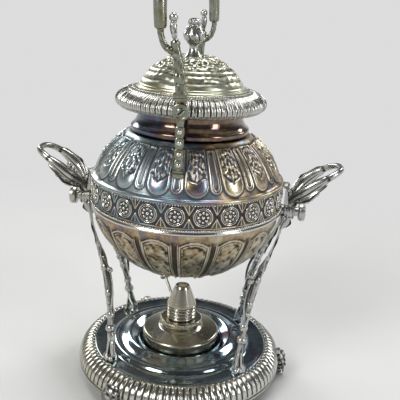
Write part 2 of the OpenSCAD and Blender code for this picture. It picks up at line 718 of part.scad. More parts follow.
// The dished tray of the stand, with its two raised rings
module base_plate() {
    top = [[well_r + well_t + seat_gap, well_lip_z], [well_ring_r - 2, tray_z + 7.6],
           [well_ring_r, tray_z + 8.3], [well_ring_r + 2, tray_z + 7.6],
           [well_ring_r + 7, tray_z + 5], [tray_ring_r - 2.4, tray_z + 3.8],
           [tray_ring_r, tray_z + 4.3], [tray_ring_r + 2.4, tray_z + 3.4],
           [tray_ring_r + 5, tray_z + 0.8], [tray_ring_r + 8, tray_z],
           [edge_r - 6, tray_z], [edge_r - 2.4, tray_z + 0.7], [edge_r, tray_z + 1.2]];
    color(silver) difference() {
        rotate_extrude(convexity = 6)
            polygon(concat(top, reversed([for (p = top) [p[0], p[1] - sheet]])));
        for (x = [-1, 1], y = [-1, 1])
            translate([x * paw_x, y * paw_y, 0])
                cylinder(r = leg_stud_r + seat_gap, h = tray_z + 9, $fn = 32);
    }
}

// Outer outline of the rim, from the tray's edge down to its lower edge
function rim_outline() =
    [[edge_r + seat_gap, tray_z + 1.2], [edge_r + 4, tray_z + 0.8], [base_r - 7, tray_z - 1.4],
     [base_r - 3, tray_z - 5.2], [base_r - 0.8, tray_z - 10], [base_r - 0.3, tray_z - 15],
     [base_r, rim_low_z + 3.6], [base_r, rim_low_z]];

// The gadrooned rim round the tray
module gadroon_rim() {
    color(silver) rotate_extrude(convexity = 4)
        polygon(concat(rim_outline(),
            reversed([for (p = rim_outline()) [p[0] - (p[0] > edge_r + 1 ? 1.9 : 0),
                max(p[1] - sheet, rim_low_z)]])));
}

// A cast leaf foot on the side of the rim, on the table
module rim_foot(turn) {
    color(silver) rotate([0, 0, turn]) difference() {
        union() {
            limb([[base_r - 2, 0, tray_z - 4, 3, 5], [base_r + 1, 0, tray_z - 9, 4.2, 7],
                  [base_r + 2.6, 0, tray_z - 16, 4, 7], [base_r + 2, 0, tray_z - 23, 3, 4.6],
                  [base_r + 2.8, 0, 3.4, 3, 4]], 3, 12);
            translate([base_r + 2.8, 0, 0]) cylinder(r = 4, h = 3.6, $fn = 32);
        }
        rotate_extrude()
            polygon(concat([[0, tray_z + 1.3]], [for (p = rim_outline()) p + [seat_gap, seat_gap]],
                [[base_r + seat_gap, rim_low_z - 1], [0, rim_low_z - 1]]));
    }
}

// The cup in the middle of the tray that the burner stands in
module burner_well() {
    out = well_r + well_t;
    color(silver) rotate_extrude(convexity = 4)
        polygon([[0, well_floor_z - well_t], [out, well_floor_z - well_t], [out, well_lip_z - sheet],
            [out, well_lip_z], [out - 0.4, well_lip_z + 0.6], [well_r, well_lip_z],
            [well_r, well_floor_z], [0, well_floor_z]]);
}

// A leg's place at a share t of its length, from the bracket to the ankle
function leg_point(side, end, t) =
    [side * (ankle_x + (leg_top_x - ankle_x) * pow(1 - t, 1.5)),
     end * (leg_top_y + (ankle_y - leg_top_y) * t),
     leg_top_z + (ankle_z - leg_top_z) * t];

// One leg: a curved branch, an ankle ball and a paw with three toes on the tray
module leg(side, end) {
    steps = 7;
    upper = [for (i = [0:steps]) leg_point(side, end, i / steps)];
    color(silver) difference() {
        union() {
            limb(concat(
                [for (i = [0:steps]) concat(upper[i],
                    [leg_r + (i == 0 ? 0.4 : 0) + 0.5 * sin(180 * i / steps)])],
                [[side * (paw_x + 2), end * (paw_y - 2), ankle_z - 13, leg_r + 0.4],
                 [side * paw_x, end * paw_y, paw_z + 6, leg_r + 1.4],
                 [side * paw_x, end * paw_y, paw_z + 1, leg_r + 2.2]]), 2, 10);
            translate(upper[steps]) sphere(r = leg_r + 2, $fn = 24);
            for (toe = [-38, 0, 38])
                translate([side * paw_x, end * paw_y, paw_z])
                    rotate([0, 0, atan2(end * paw_y, side * paw_x) + toe])
                        translate([5.4, 0, 2.2]) sphere(r = 3, $fn = 24);
        }
        translate([side * paw_x, end * paw_y, paw_z - 20]) cylinder(r = 20, h = 20);
        translate([side * paw_x, end * paw_y, 0])
            cylinder(r = leg_stud_r + seat_gap, h = paw_z + 6, $fn = 32);
        translate([side * boss_x - side, 0, trunnion_z]) along_x(side)
            cylinder(r = boss_r + seat_gap, h = boss_l + 4);
        translate([0, 0, trunnion_z]) sphere(r = tilt_r, $fn = 180);
        translate([0, 0, trunnion_z]) along_x(side) cylinder(r = lug_r + 0.5, h = boss_x);
        translate([side * 200, 0, 0]) mirror([side > 0 ? 1 : 0, 0, 0])
            translate([0, -bracket_t / 2 - seat_gap, trunnion_z - 30])
                cube([200, bracket_t + 2 * seat_gap, 60]);
    }
}

// The nuts under the tray and the studs that hold the paws
module leg_studs() {
    color(silver) for (x = [-1, 1], y = [-1, 1])
        translate([x * paw_x, y * paw_y, 0]) {
            translate([0, 0, tray_z - 9]) cylinder(r = leg_stud_r, h = paw_z + 14 - tray_z, $fn = 32);
            translate([0, 0, tray_z - sheet - 3.4]) cylinder(r = 4, h = 3.3, $fn = 6);
        }
}

// The bracket on each side: the boss for the pin, the tongue between the two
// legs below it and the stem above it that carries the side handle
function stem_outline() =
    [[boss_x, -1], [boss_x + boss_l - 0.4, -1], [boss_x + boss_l - 0.8, 10],
     [boss_x + 7.2, 15.5], [boss_x + 4, 21], [boss_x + 0.6, 22.5], [boss_x, 14]];
module bracket(side) {
    color(silver) translate([0, 0, trunnion_z]) difference() {
        union() {
            translate([side * boss_x, 0, 0]) along_x(side) cylinder(r = boss_r, h = boss_l);
            translate([0, bracket_t / 2, 0]) rotate([90, 0, 0])
                linear_extrude(bracket_t)
                    polygon([for (p = stem_outline()) [side * p[0], p[1]]]);
            translate([0, bracket_t / 2, 0]) rotate([90, 0, 0])
                linear_extrude(bracket_t)
                    polygon([for (p = [[boss_x, 0], [boss_x + boss_l - 2, 0],
                        [boss_x + 6.4, -12], [boss_x + 2.4, -17], [boss_x - 1.6, -18],
                        [boss_x, -10]]) [side * p[0], p[1]]]);
            translate([side * (boss_x + 0.6), 0, 25.4]) rotate([90, 0, 0])
                rotate_extrude($fn = 32) translate([2.6, 0]) circle(r = 1.2, $fn = 16);
        }
        along_x(side) cylinder(r = pin_r + run_gap, h = 150);
    }
}

// The loop handle on each side: two leafy arms, a round bar and two buds
module side_handle(side) {
    x0 = boss_x + boss_l / 2;
    bar_x = boss_x + boss_l + handle_out;
    bar_z = trunnion_z + handle_up;
    run = bar_x - x0;
    z0 = trunnion_z + 11.5;
    rise = bar_z - z0;
    half = [[0.02, 0.22, 0, 2.8, 3.2], [0.1, 0.52, 0.16, 4.2, 3.8], [0.27, 0.92, 0.38, 5.8, 4.6],
            [0.47, 1, 0.6, 5.6, 4.6], [0.66, 0.98, 0.78, 4, 4], [0.85, 0.8, 0.92, 3.8, 3.8],
            [0.97, 0.45, 0.99, handle_bar_r, handle_bar_r], [1, 0, 1, handle_bar_r, handle_bar_r]];
    loop = concat([for (s = half) [side * (x0 + s[0] * run), -s[1] * handle_half,
                       z0 + s[2] * rise, s[4], s[3]]],
        [for (i = [len(half) - 2:-1:0]) let (s = half[i]) [side * (x0 + s[0] * run),
                       s[1] * handle_half, z0 + s[2] * rise, s[4], s[3]]]);
    color(silver) difference() {
        union() {
            limb(loop, 3, 12, [-side * rise, 0, run]);
            for (end = [-1, 1]) {
                limb([[side * (x0 + 0.16 * run), end * handle_half * 0.72, z0 + 0.1 * rise, 2.6, 2.6],
                      [side * (x0 + 0.3 * run), end * handle_half * 0.9, z0 + 0.2 * rise, 4.2, 4],
                      [side * (x0 + 0.45 * run), end * handle_half, z0 + 0.36 * rise, 3.4, 3.2]],
                     3, 10);
                translate([side * (x0 + 0.49 * run), end * handle_half, z0 + 0.4 * rise])
                    sphere(r = 3.6, $fn = 24);
            }
        }
        translate([0, bracket_t / 2 + seat_gap, trunnion_z]) rotate([90, 0, 0])
            linear_extrude(bracket_t + 2 * seat_gap)
                polygon([for (p = stem_outline()) [side * p[0], p[1]]]);
        translate([side * (boss_x - 1), 0, trunnion_z]) along_x(side)
            cylinder(r = boss_r + seat_gap, h = boss_l + 2);
    }
}

// The burner's reservoir: a shallow drum with a coned top, open in the middle
module burner_reservoir() {
    t = 1.2;
    neck = tube_rib_r - 2;
    color(nickel) rotate_extrude(convexity = 4)
        polygon([[0, res_z], [res_r - 1.5, res_z], [res_r, res_z + 1.5], [res_r, res_top - 1.5],
            [res_r - 1.5, res_top], [collar_r + 1, res_top + 3.2], [collar_r - 4, res_top + 6.4],
            [collar_r - 5, collar_z - seat_gap], [neck, collar_z - seat_gap],
            [neck, collar_z - 2], [collar_r - 6, collar_z - 2.4], [collar_r - 1, res_top + 2],
            [res_r - 2.4, res_top - t], [res_r - t, res_top - 2.2], [res_r - t, res_z + 2],
            [res_r - 2, res_z + t], [0, res_z + t]]);
}

// The knurled collar that screws down on the reservoir
module burner_collar() {
    notches = 36;
    color(nickel) difference() {
        rotate_extrude()
            polygon([[tube_rib_r - 3, collar_z], [collar_r - 1, collar_z], [collar_r, collar_z + 1],
                [collar_r, collar_z + collar_h - 1], [collar_r - 1.5, collar_z + collar_h - seat_gap],
                [tube_rib_r - 3, collar_z + collar_h - seat_gap]]);
        for (k = [0:notches - 1])
            rotate([0, 0, 360 / notches * k])
                translate([collar_r + 0.5, 0, collar_z - 1])
                    cylinder(r = 1, h = collar_h + 2, $fn = 4);
    }
}

// Carries a shape made along +Z to the winding shaft's line
module winder_place() {
    rotate([0, 0, winder_az]) translate([winder_in, 0, winder_in_z])
        rotate([0, 90 - winder_slope, 0]) children();
}

// The ribbed tube and cone that hold the wick
module wick_tube() {
    ribs = 4;
    pitch = tube_rib_h / ribs;
    color(nickel) difference() {
        rotate_extrude(convexity = 4)
            polygon(concat([[0, rib_z - 6], [tube_rib_r - 3.2, rib_z - 6], [tube_rib_r - 3.2, rib_z]],
                [for (k = [0:ribs - 1], p = [[0, 0.1], [0.6, 0.3], [0.6, 0.7], [0, 0.9]])
                    [tube_rib_r - 0.6 + p[0], rib_z + (k + p[1]) * pitch]],
                [[tube_rib_r + 0.6, cone_z], [tube_rib_r + 0.6, cone_z + 1],
                 [cone_top_r + 1.2, tip_z - 2.4], [cone_top_r, tip_z], [0, tip_z]]));
        translate([0, 0, rib_z - 8]) cylinder(r = wick_r + run_gap, h = 80);
        winder_place() {
            translate([0, 0, -2.6]) cylinder(r = pinion_r + move_gap, h = 4.4);
            cylinder(r = winder_r + run_gap, h = 30, $fn = 32);
        }
    }
}

// The wick, from inside the reservoir to the cone's mouth
module wick() {
    color(cream) translate([0, 0, res_z + 6])
        cylinder(r = wick_r, h = tip_z - res_z - 6.4);
}

module winder_shaft() {
    color(nickel) winder_place() translate([0, 0, 1.4])
        cylinder(r = winder_r, h = winder_l - 1.4, $fn = 32);
}

module winder_knob() {
    t = 3.2;
    color(nickel) winder_place() translate([0, 0, winder_l + seat_gap])
        rotate_extrude()
            polygon([[0, 0], [winder_knob_r - 1, 0], [winder_knob_r, 0.8], [winder_knob_r, t - 0.8],
                [winder_knob_r - 1, t], [0, t + 0.5]]);
}

// The toothed wheel that lifts the wick
module winder_pinion() {
    teeth = 8;
    color(nickel) winder_place() {
        translate([0, 0, -0.8]) {
            cylinder(r = pinion_r - 0.7, h = 2.15);
            for (k = [0:teeth - 1])
                rotate([0, 0, 360 / teeth * k])
                    translate([pinion_r - 1.1, -0.4, 0]) cube([0.9, 0.8, 2]);
        }
    }
}

base_plate();
gadroon_rim();
burner_well();
rim_foot(0);  // rim_foot_right
rim_foot(120);  // rim_foot_back
rim_foot(240);  // rim_foot_front
leg(-1, -1);  // leg_front_left
leg(1, -1);  // leg_front_right
leg(-1, 1);  // leg_back_left
leg(1, 1);  // leg_back_right
leg_studs();
bracket(-1);  // bracket_left
bracket(1);  // bracket_right
side_handle(-1);  // side_handle_left
side_handle(1);  // side_handle_right
trunnion_pin(-1);  // trunnion_pin_left
trunnion_pin(1);  // trunnion_pin_right
lower_bowl();
frieze_band();
bead_moulding();
upper_shell();
neck_collar();
bottom_cap();
spout();
spout_strainer();
trunnion_lug(-1);  // trunnion_lug_left
trunnion_lug(1);  // trunnion_lug_right
bail_strap(0);  // bail_strap_front
bail_strap(180);  // bail_strap_back
strap_studs();
bail_screws();
bail_arm(0);  // bail_arm_front
bail_arm(180);  // bail_arm_back
bail_bud(0);  // bail_bud_front
bail_bud(180);  // bail_bud_back
bail_tube(0);  // bail_tube_front
bail_tube(180);  // bail_tube_back
bail_rings();
bail_grip();
lid_dome();
lid_brim();
lid_bezel();
lid_finial();
finial_nut();
lid_hinge_leaf();
neck_hinge_leaf();
lid_hinge_pin();
burner_reservoir();
burner_collar();
wick_tube();
wick();
winder_shaft();
winder_knob();
winder_pinion();
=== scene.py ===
"""A silver-plated spirit kettle on its stand, with chased and cast ornament.

The bowl, band, shell, lid, handles, legs, base and burner are built round the
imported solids, in the same place and at the same size. Sizes in the code are in
millimetres until a mesh is made.
"""

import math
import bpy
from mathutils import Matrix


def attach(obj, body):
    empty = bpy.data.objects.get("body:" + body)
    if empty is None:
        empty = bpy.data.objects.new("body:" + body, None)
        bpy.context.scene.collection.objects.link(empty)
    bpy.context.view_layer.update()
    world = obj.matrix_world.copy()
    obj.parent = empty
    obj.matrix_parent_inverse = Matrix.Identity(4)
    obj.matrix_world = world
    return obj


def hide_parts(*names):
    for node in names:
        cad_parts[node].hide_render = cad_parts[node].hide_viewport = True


bl_info = {
    "name": "Spirit kettle on its stand",
    "version": (1, 0, 0),
    "blender": (4, 5, 0),
    "location": "View3D > Sidebar > Kettle",
    "description": "Builds the chased ornament, the finishes and the stage of a spirit kettle",
    "category": "Add Mesh",
}

import bpy
import bmesh
import numpy as np
from bpy.props import FloatProperty, FloatVectorProperty, IntProperty, PointerProperty
from mathutils import Matrix, Vector

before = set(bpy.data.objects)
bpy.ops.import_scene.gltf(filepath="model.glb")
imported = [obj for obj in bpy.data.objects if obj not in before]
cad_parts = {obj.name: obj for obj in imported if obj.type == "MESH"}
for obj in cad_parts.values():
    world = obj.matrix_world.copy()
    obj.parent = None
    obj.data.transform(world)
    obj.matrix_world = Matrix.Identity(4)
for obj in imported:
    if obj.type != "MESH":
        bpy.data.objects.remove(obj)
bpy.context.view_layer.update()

MM = 0.001
# The attribute holds how far each point stands above its surroundings plus painted shade.
MARK = "chasing"
REPEAT = "Repeat round the axis"
FULL = 2 * math.pi
ACROSS, BACK, FORWARD, UP = (1, 0, 0), (0, 1, 0), (0, -1, 0), (0, 0, 1)

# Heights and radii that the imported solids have, in millimetres
BODY_R = 90.1
BELLY_Z = 190.0
DOME_H = 75.0
BOWL_H = 80.3
WALL = 1.4
BAND_Z = 182.4
BAND_TOP = 206.4
SHELL_TOP = 248.8
MOUTH_Z = 270.8
NECK_R = 48.5
DOME_Z = 289.0
DISH_Z = 312.3
DOME_R = 50.5
BRIM_R = 68.6
STRAP_Y = 81.4
BAIL_Z = 280.0
BAIL_H = 126.0
ARM_Y = 80.0
TUBE_SIDE = 14.8
TUBE_R = 6.4
FINIAL_H = 38.0
FINIAL_R = 9.5
TRAY_Z = 30.3
EDGE_R = 86.9
PIN_Z = 178.0

# The middle of the band's rosettes, and the height that the brim's outline is drawn from
BAND_MIDDLE = 0.5 * (BAND_Z + BAND_TOP) + 0.6
BRIM_Z = DOME_Z - 0.85
# The strap's eye, and its studs: how many, how far apart and how far the first lies below its middle
EYE_R = 7.2
STUDS = 4
STUD_PITCH = 9.2
STUD_DOWN = 16
# Where the spout's tip ends, as a share of its reach and of its rise
SPOUT_END = 0.997
# The ball that the tilting kettle sweeps and the face of its boss, which the legs keep clear of
SWEEP_R = 92.5
BOSS_FACE = 93.3
# The ribs of the burner's cone
RIBS_Z = 55.5
RIB_PITCH = 3.65
# Counts that a user would not change
UPPER_BEADS = 240
ROPE_TURNS = 150
KNURLS = 72
POINTS_PER_LOBE = 12
# The smallest radius of a turned form, so that its middle stays closed
AXIS_R = 0.02
# How pale the backdrop is, from 0 to 1, and how far the floor reaches, in metres
BACKDROP = 0.72
FLOOR_REACH = 8.0
# Where the camera stands, in metres, its turns in degrees, and its lens
CAMERA_PLACE = (0.05753, -0.57207, 0.36784)
CAMERA_TURNS = ((4.45, "Z"), (72.05, "X"), (3.08, "Z"))
LENS = 56.29

FINISH = {}


# Small sums


def sizes():
    """The sizes and counts that the user sets."""
    return bpy.context.scene.kettle_sizes


def chasing():
    """The height of the chased relief, in millimetres."""
    return sizes().chasing / MM


def ease(x, low, high):
    """A smooth step from 0 at low to 1 at high."""
    t = np.clip((x - low) / (high - low), 0, 1)
    return t * t * (3 - 2 * t)


def ridge(distance, width):
    """A rounded ridge along the line where distance is 0."""
    return np.exp(-((distance / width) ** 2))


def spline(points, steps):
    """A smooth curve through the points, with steps pieces between each two."""
    p = np.array(points, float)
    last = len(p) - 1
    out = []
    for i in range(last):
        a, b, c, d = p[max(0, i - 1)], p[i], p[i + 1], p[min(last, i + 2)]
        for j in range(steps):
            t = j / steps
            square = (2 * a - 5 * b + 4 * c - d) * t * t
            cube = (3 * b - a - 3 * c + d) * t**3
            out.append(0.5 * (2 * b + (c - a) * t + square + cube))
    out.append(p[last])
    return np.array(out)


def even(points, step):
    """The same line with a point every step millimetres."""
    p = np.array(points, float)
    gaps = np.linalg.norm(np.diff(p, axis=0), axis=1)
    along = np.concatenate([[0], np.cumsum(gaps)])
    count = max(2, int(round(along[-1] / step)) + 1)
    wanted = np.linspace(0, along[-1], count)
    return np.stack([np.interp(wanted, along, p[:, k]) for k in range(p.shape[1])], axis=1)


def unit(v):
    """The same direction, 1 long."""
    v = np.array(v, float)
    return v / np.maximum(np.linalg.norm(v, axis=-1, keepdims=True), 1e-9)


def ellipse(half, height, low, high, count):
    """Radius and height of the body's side between two heights."""
    z = np.linspace(low, high, count)
    r = half * np.sqrt(np.maximum(0, 1 - ((z - BELLY_Z) / height) ** 2))
    return np.stack([r, z], axis=1)


def turn_matrix(axis, degrees, move=(0, 0, 0)):
    """A turn about X, Y or Z with a move after it, as a 4 by 4 matrix."""
    a = math.radians(degrees)
    c, s = math.cos(a), math.sin(a)
    m = np.eye(4)
    i, j = {"X": (1, 2), "Y": (2, 0), "Z": (0, 1)}[axis]
    m[i, i] = c
    m[j, j] = c
    m[i, j] = -s
    m[j, i] = s
    m[:3, 3] = move
    return m


def side_matrix(side, end=1):
    """A mirror to the left for side -1 and to the back for end -1."""
    return np.diag([side, end, 1, 1]).astype(float)


# Shapes


class Shape:
    """Gathers the turned, swept and cut forms of one piece, in millimetres."""

    def __init__(self):
        self.points = []
        self.faces = []
        self.marks = []
        self.count = 0

    def add(self, points, faces, marks=None, place=None):
        """Adds a closed form, turned right way out."""
        points = np.array(points, float)
        if place is not None:
            points = points @ place[:3, :3].T + place[:3, 3]
        volume = 0.0
        for group in faces:
            f = np.array(group, int)
            for k in range(1, f.shape[1] - 1):
                a, b, c = points[f[:, 0]], points[f[:, k]], points[f[:, k + 1]]
                volume += float(np.sum(a * np.cross(b, c)))
        for group in faces:
            f = np.array(group, int)
            if volume < 0:
                f = f[:, ::-1]
            self.faces.append(f + self.count)
        self.points.append(points)
        self.marks.append(np.zeros(len(points)) if marks is None else np.ravel(marks))
        self.count += len(points)

    def skin(self, rings, loop=False, marks=None, place=None, poles=(None, None)):
        """Joins a stack of closed rings. The stack is closed too, or has capped ends."""
        rings = np.array(rings, float)
        rows, sides = rings.shape[:2]
        points = rings.reshape(-1, 3)
        mark = np.zeros(rows * sides) if marks is None else np.ravel(marks)
        i = np.arange(rows if loop else rows - 1)[:, None]
        k = np.arange(sides)[None, :]
        j = (i + 1) % rows
        m = (k + 1) % sides
        quads = np.stack([i * sides + k, i * sides + m, j * sides + m, j * sides + k], axis=-1)
        groups = [quads.reshape(-1, 4)]
        if not loop:
            start = rings[0].mean(0) if poles[0] is None else np.array(poles[0], float)
            end = rings[-1].mean(0) if poles[1] is None else np.array(poles[1], float)
            points = np.vstack([points, start, end])
            mark = np.concatenate([mark, [0, 0]])
            first = np.arange(sides)
            after = (first + 1) % sides
            base = (rows - 1) * sides
            tip = np.full(sides, rows * sides)
            groups.append(np.stack([tip, after, first], axis=-1))
            groups.append(np.stack([tip + 1, base + first, base + after], axis=-1))
        self.add(points, groups, mark, place)

    def turned(self, profile, around, relief=None, shown=None, place=None):
        """A form turned about Z from a closed outline of (radius, height) points.

        relief gives how far each point of the first shown rows stands proud of the
        outline, from its angle, its distance along the outline, its radius and height.
        It may give a second value of painted shade, below 0 where a sunk ground is painted dark."""
        p = np.array(profile, float)
        shown = len(p) if shown is None else shown
        angle = np.arange(around) / around * FULL
        proud = np.zeros((len(p), around))
        mark = np.zeros((len(p), around))
        if relief is not None:
            q = p[:shown]
            gaps = np.linalg.norm(np.diff(q, axis=0), axis=1)
            s = np.concatenate([[0], np.cumsum(gaps)])[:, None]
            a = (angle[None, :] + math.pi) % FULL - math.pi
            found = relief(a, s, q[:, 0][:, None], q[:, 1][:, None])
            high, shade = found if isinstance(found, tuple) else (found, 0.0)
            proud[:shown] = high
            # The mark adds the painted shade to how far each point stands above its surroundings.
            mark[:shown] = np.clip(hollows(proud[:shown]) + shade, -1, 1)
        slope = np.gradient(p, axis=0)
        normal = unit(np.stack([slope[:, 1], -slope[:, 0]], axis=1))
        if polygon_area(p) < 0:
            normal = -normal
        radius = np.maximum(p[:, 0][:, None] + normal[:, 0][:, None] * proud, AXIS_R)
        height = p[:, 1][:, None] + normal[:, 1][:, None] * proud
        rings = np.stack([radius * np.sin(angle), -radius * np.cos(angle), height], axis=-1)
        closed = p[0, 0] > 0.5 and p[-1, 0] > 0.5
        self.skin(rings, closed, mark, place)

    def tube(self, path, sizes, sides=16, along=BACK, relief=None, place=None):
        """A tube of oval rings. Each size holds its half widths across along and with it."""
        path = np.array(path, float)
        sizes = np.array(sizes, float)
        if sizes.ndim < 2:
            sizes = np.stack([sizes * np.ones(len(path))] * 2, axis=1)
        tangent = unit(np.gradient(path, axis=0))
        across = unit(np.cross(np.array(along, float), tangent))
        beside = np.cross(tangent, across)
        angle = np.arange(sides) / sides * FULL
        share = np.linspace(0, 1, len(path))[:, None]
        proud = np.zeros((len(path), sides))
        mark = None
        if relief is not None:
            proud = relief(share, angle[None, :]) * np.ones((len(path), sides))
            mark = hollows(proud)
        wide = ((sizes[:, :1] + proud) * np.cos(angle))[..., None]
        deep = ((sizes[:, 1:2] + proud) * np.sin(angle))[..., None]
        rings = path[:, None, :] + across[:, None, :] * wide + beside[:, None, :] * deep
        self.skin(rings, False, mark, place)

    def limb(self, stations, steps=6, sides=16, along=BACK, relief=None, place=None):
        """A tube whose places and half widths are given together, four or five numbers each."""
        rows = [list(s) + [s[3]] if len(s) == 4 else list(s) for s in stations]
        curve = spline(rows, steps)
        self.tube(curve[:, :3], curve[:, 3:5], sides, along, relief, place)

    def ball(self, centre, radius, stretch=(1, 1, 1), rows=8, sides=12, place=None):
        """A round bead, or an oval one."""
        a = np.linspace(0, math.pi, rows + 1)[1:-1]
        b = np.arange(sides) / sides * FULL
        rings = np.stack([np.sin(a)[:, None] * np.cos(b), np.sin(a)[:, None] * np.sin(b),
                          np.cos(a)[:, None] + 0 * b], axis=-1)
        size = np.array(stretch, float) * radius
        centre = np.array(centre, float)
        top = centre + size * (0, 0, 1)
        low = centre - size * (0, 0, 1)
        self.skin(rings * size + centre, False, None, place, (top, low))

    def leaf(self, spine, side, width, lobes=5, camber=0.25, thick=0.9, rows=30, cols=11,
             point=0.75, place=None):
        """A cast leaf on a curved spine, with a midrib, veins and a lobed edge."""
        path = even(spline(spine, 8), 0.4)
        wanted, given = np.linspace(0, 1, rows), np.linspace(0, 1, len(path))
        path = np.stack([np.interp(wanted, given, path[:, k]) for k in range(3)], axis=1)
        tangent = unit(np.gradient(path, axis=0))
        side = unit(np.broadcast_to(np.array(side, float), path.shape))
        side = unit(side - tangent * np.sum(side * tangent, axis=1, keepdims=True))
        normal = np.cross(side, tangent)
        t = np.linspace(0.001, 0.999, rows)
        body = np.sin(math.pi * t**point) ** 0.6
        edge = 1 - 0.34 * np.abs(np.sin(math.pi * lobes * t)) ** 0.7
        half = width * body * edge
        u = np.linspace(-1, 1, cols)
        wave = np.cos(FULL * (lobes * t[:, None] - 0.55 * np.abs(u)))
        up = width * (camber * (1 - u**2) + 0.16 * ridge(u, 0.16) + 0.07 * wave * np.abs(u))
        up = up * (0.25 + 0.75 * body[:, None])
        top = path[:, None, :] + side[:, None, :] * (half[:, None] * u)[..., None]
        top = top + normal[:, None, :] * up[..., None]
        low = top - normal[:, None, :] * (thick * (0.3 + 0.7 * body))[:, None, None]
        rings = np.concatenate([top, low[:, ::-1]], axis=1)
        # The underside gets a mark of -0.3: painted shade under the leaf.
        mark = np.concatenate([hollows(up * 1.6), np.full(up.shape, -0.3)], axis=1)
        self.skin(rings, False, mark, place)

    def bend(self, radius, height):
        """Bends what was made flat, facing the front, round an upright cylinder."""
        for i, p in enumerate(self.points):
            out = radius - p[:, 1]
            angle = p[:, 0] / radius
            bent = [out * np.sin(angle), -out * np.cos(angle), p[:, 2] + height]
            self.points[i] = np.stack(bent, axis=1)

    def mesh(self, name, finish, sharp=None):
        """The gathered forms as one mesh in metres, with how far each point stands above its surroundings,
        plus painted shade, as an attribute.
        """
        mesh = bpy.data.meshes.new(name)
        points = np.vstack(self.points) * MM
        mesh.vertices.add(len(points))
        mesh.vertices.foreach_set("co", points.astype(np.float32).ravel())
        loops = np.concatenate([f.ravel() for f in self.faces])
        sizes = np.concatenate([np.full(len(f), f.shape[1]) for f in self.faces])
        mesh.loops.add(len(loops))
        mesh.loops.foreach_set("vertex_index", loops.astype(np.int32))
        mesh.polygons.add(len(sizes))
        starts = np.concatenate([[0], np.cumsum(sizes)[:-1]])
        mesh.polygons.foreach_set("loop_start", starts.astype(np.int32))
        mesh.polygons.foreach_set("use_smooth", np.ones(len(sizes), bool))
        mesh.update(calc_edges=True)
        mesh.validate()
        mark = mesh.attributes.new(MARK, "FLOAT", "POINT")
        mark.data.foreach_set("value", np.concatenate(self.marks).astype(np.float32))
        if sharp is not None:
            work = bmesh.new()
            work.from_mesh(mesh)
            mark_sharp(work, sharp)
            work.to_mesh(mesh)
            work.free()
        mesh.materials.append(FINISH[finish])
        return mesh

    def build(self, name, body, slot, finish, replaces=(), sharp=None):
        """Makes the piece and hands it to the frame."""
        return hand_over(placed(name, self.mesh(name, finish, sharp)), body, replaces)


def polygon_area(p):
    """The signed area of a closed outline."""
    x, y = p[:, 0], p[:, 1]
    return 0.5 * float(np.sum(x * np.roll(y, -1) - np.roll(x, -1) * y))


def hollows(height):
    """How far each point lies above its surroundings, from -1 in a groove to 1 on a ridge."""
    total = np.zeros_like(height)
    weight = 0.0
    for reach in (1, 2, 4):
        for dr, dc in ((0, 1), (0, -1), (1, 0), (-1, 0), (1, 1), (-1, -1)):
            moved = np.roll(height, dc * reach, axis=1)
            if dr:
                moved = np.roll(moved, dr * reach, axis=0)
            total += moved
            weight += 1
    return np.clip((height - total / weight) * 3.2, -1, 1)


def mark_sharp(work, degrees):
    """Marks the edges sharp where two faces meet at more than this angle."""
    for edge in work.edges:
        if len(edge.link_faces) == 2 and edge.calc_face_angle(0) > math.radians(degrees):
            edge.smooth = False


def placed(name, data):
    """A new object of that mesh, lamp or camera, in the scene."""
    thing = bpy.data.objects.new(name, data)
    bpy.context.scene.collection.objects.link(thing)
    return thing


def hand_over(piece, body, replaces=()):
    """The piece rides on its body and stands for its solids, which are hidden."""
    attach(piece, body)
    if replaces:
        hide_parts(*replaces)
    return piece


def smoothed(node, body, finish, bevel=0.0, sharp=34):
    """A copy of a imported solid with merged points, softened edges and smooth faces."""
    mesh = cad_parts[node].data.copy()
    mesh.name = node + "_finished"
    work = bmesh.new()
    work.from_mesh(mesh)
    bmesh.ops.remove_doubles(work, verts=work.verts, dist=2e-6)
    bmesh.ops.dissolve_limit(work, angle_limit=math.radians(0.6), verts=work.verts, edges=work.edges)
    bmesh.ops.triangulate(work, faces=[f for f in work.faces if len(f.verts) > 40])
    for face in work.faces:
        face.smooth = True
    mark_sharp(work, sharp)
    work.to_mesh(mesh)
    work.free()
    piece = placed(mesh.name, mesh)
    mesh.materials.clear()
    mesh.materials.append(FINISH[finish])
    if bevel:
        cut = piece.modifiers.new("Soft edges", "BEVEL")
        cut.width = bevel * MM
        cut.segments = 2
        cut.limit_method = "ANGLE"
        cut.angle_limit = math.radians(sharp)
        cut.harden_normals = True
    return hand_over(piece, body, (node,))


# Repeats


def round_tree():
    """Geometry nodes that repeat a piece round the kettle's upright axis."""
    group = bpy.data.node_groups.new(REPEAT, "GeometryNodeTree")
    for name, kind in (("Geometry", "Geometry"), ("Count", "Int"), ("Finish", "Material")):
        group.interface.new_socket(name, in_out="INPUT", socket_type="NodeSocket" + kind)
    group.interface.new_socket("Geometry", in_out="OUTPUT", socket_type="NodeSocketGeometry")
    node = Tree(group).node
    given = node("NodeGroupInput").outputs
    line = node("GeometryNodeMeshLine", {}, {"Offset": (0, 0, 0), "Count": given["Count"]})
    index = node("GeometryNodeInputIndex")
    share = node("ShaderNodeMath", {"operation": "DIVIDE"}, {0: index.outputs[0], 1: given["Count"]})
    angle = node("ShaderNodeMath", {"operation": "MULTIPLY"}, {0: share.outputs[0], 1: FULL})
    turn = node("ShaderNodeCombineXYZ", {}, {"Z": angle.outputs[0]})
    spread = node("GeometryNodeInstanceOnPoints", {}, {
        "Points": line.outputs["Mesh"],
        "Instance": given["Geometry"],
        "Rotation": turn.outputs[0],
    })
    real = node("GeometryNodeRealizeInstances", {}, {"Geometry": spread.outputs["Instances"]})
    paint = node("GeometryNodeSetMaterial", {}, {"Geometry": real.outputs["Geometry"],
                                                 "Material": given["Finish"]})
    node("NodeGroupOutput", {}, {"Geometry": paint.outputs["Geometry"]})
    return group


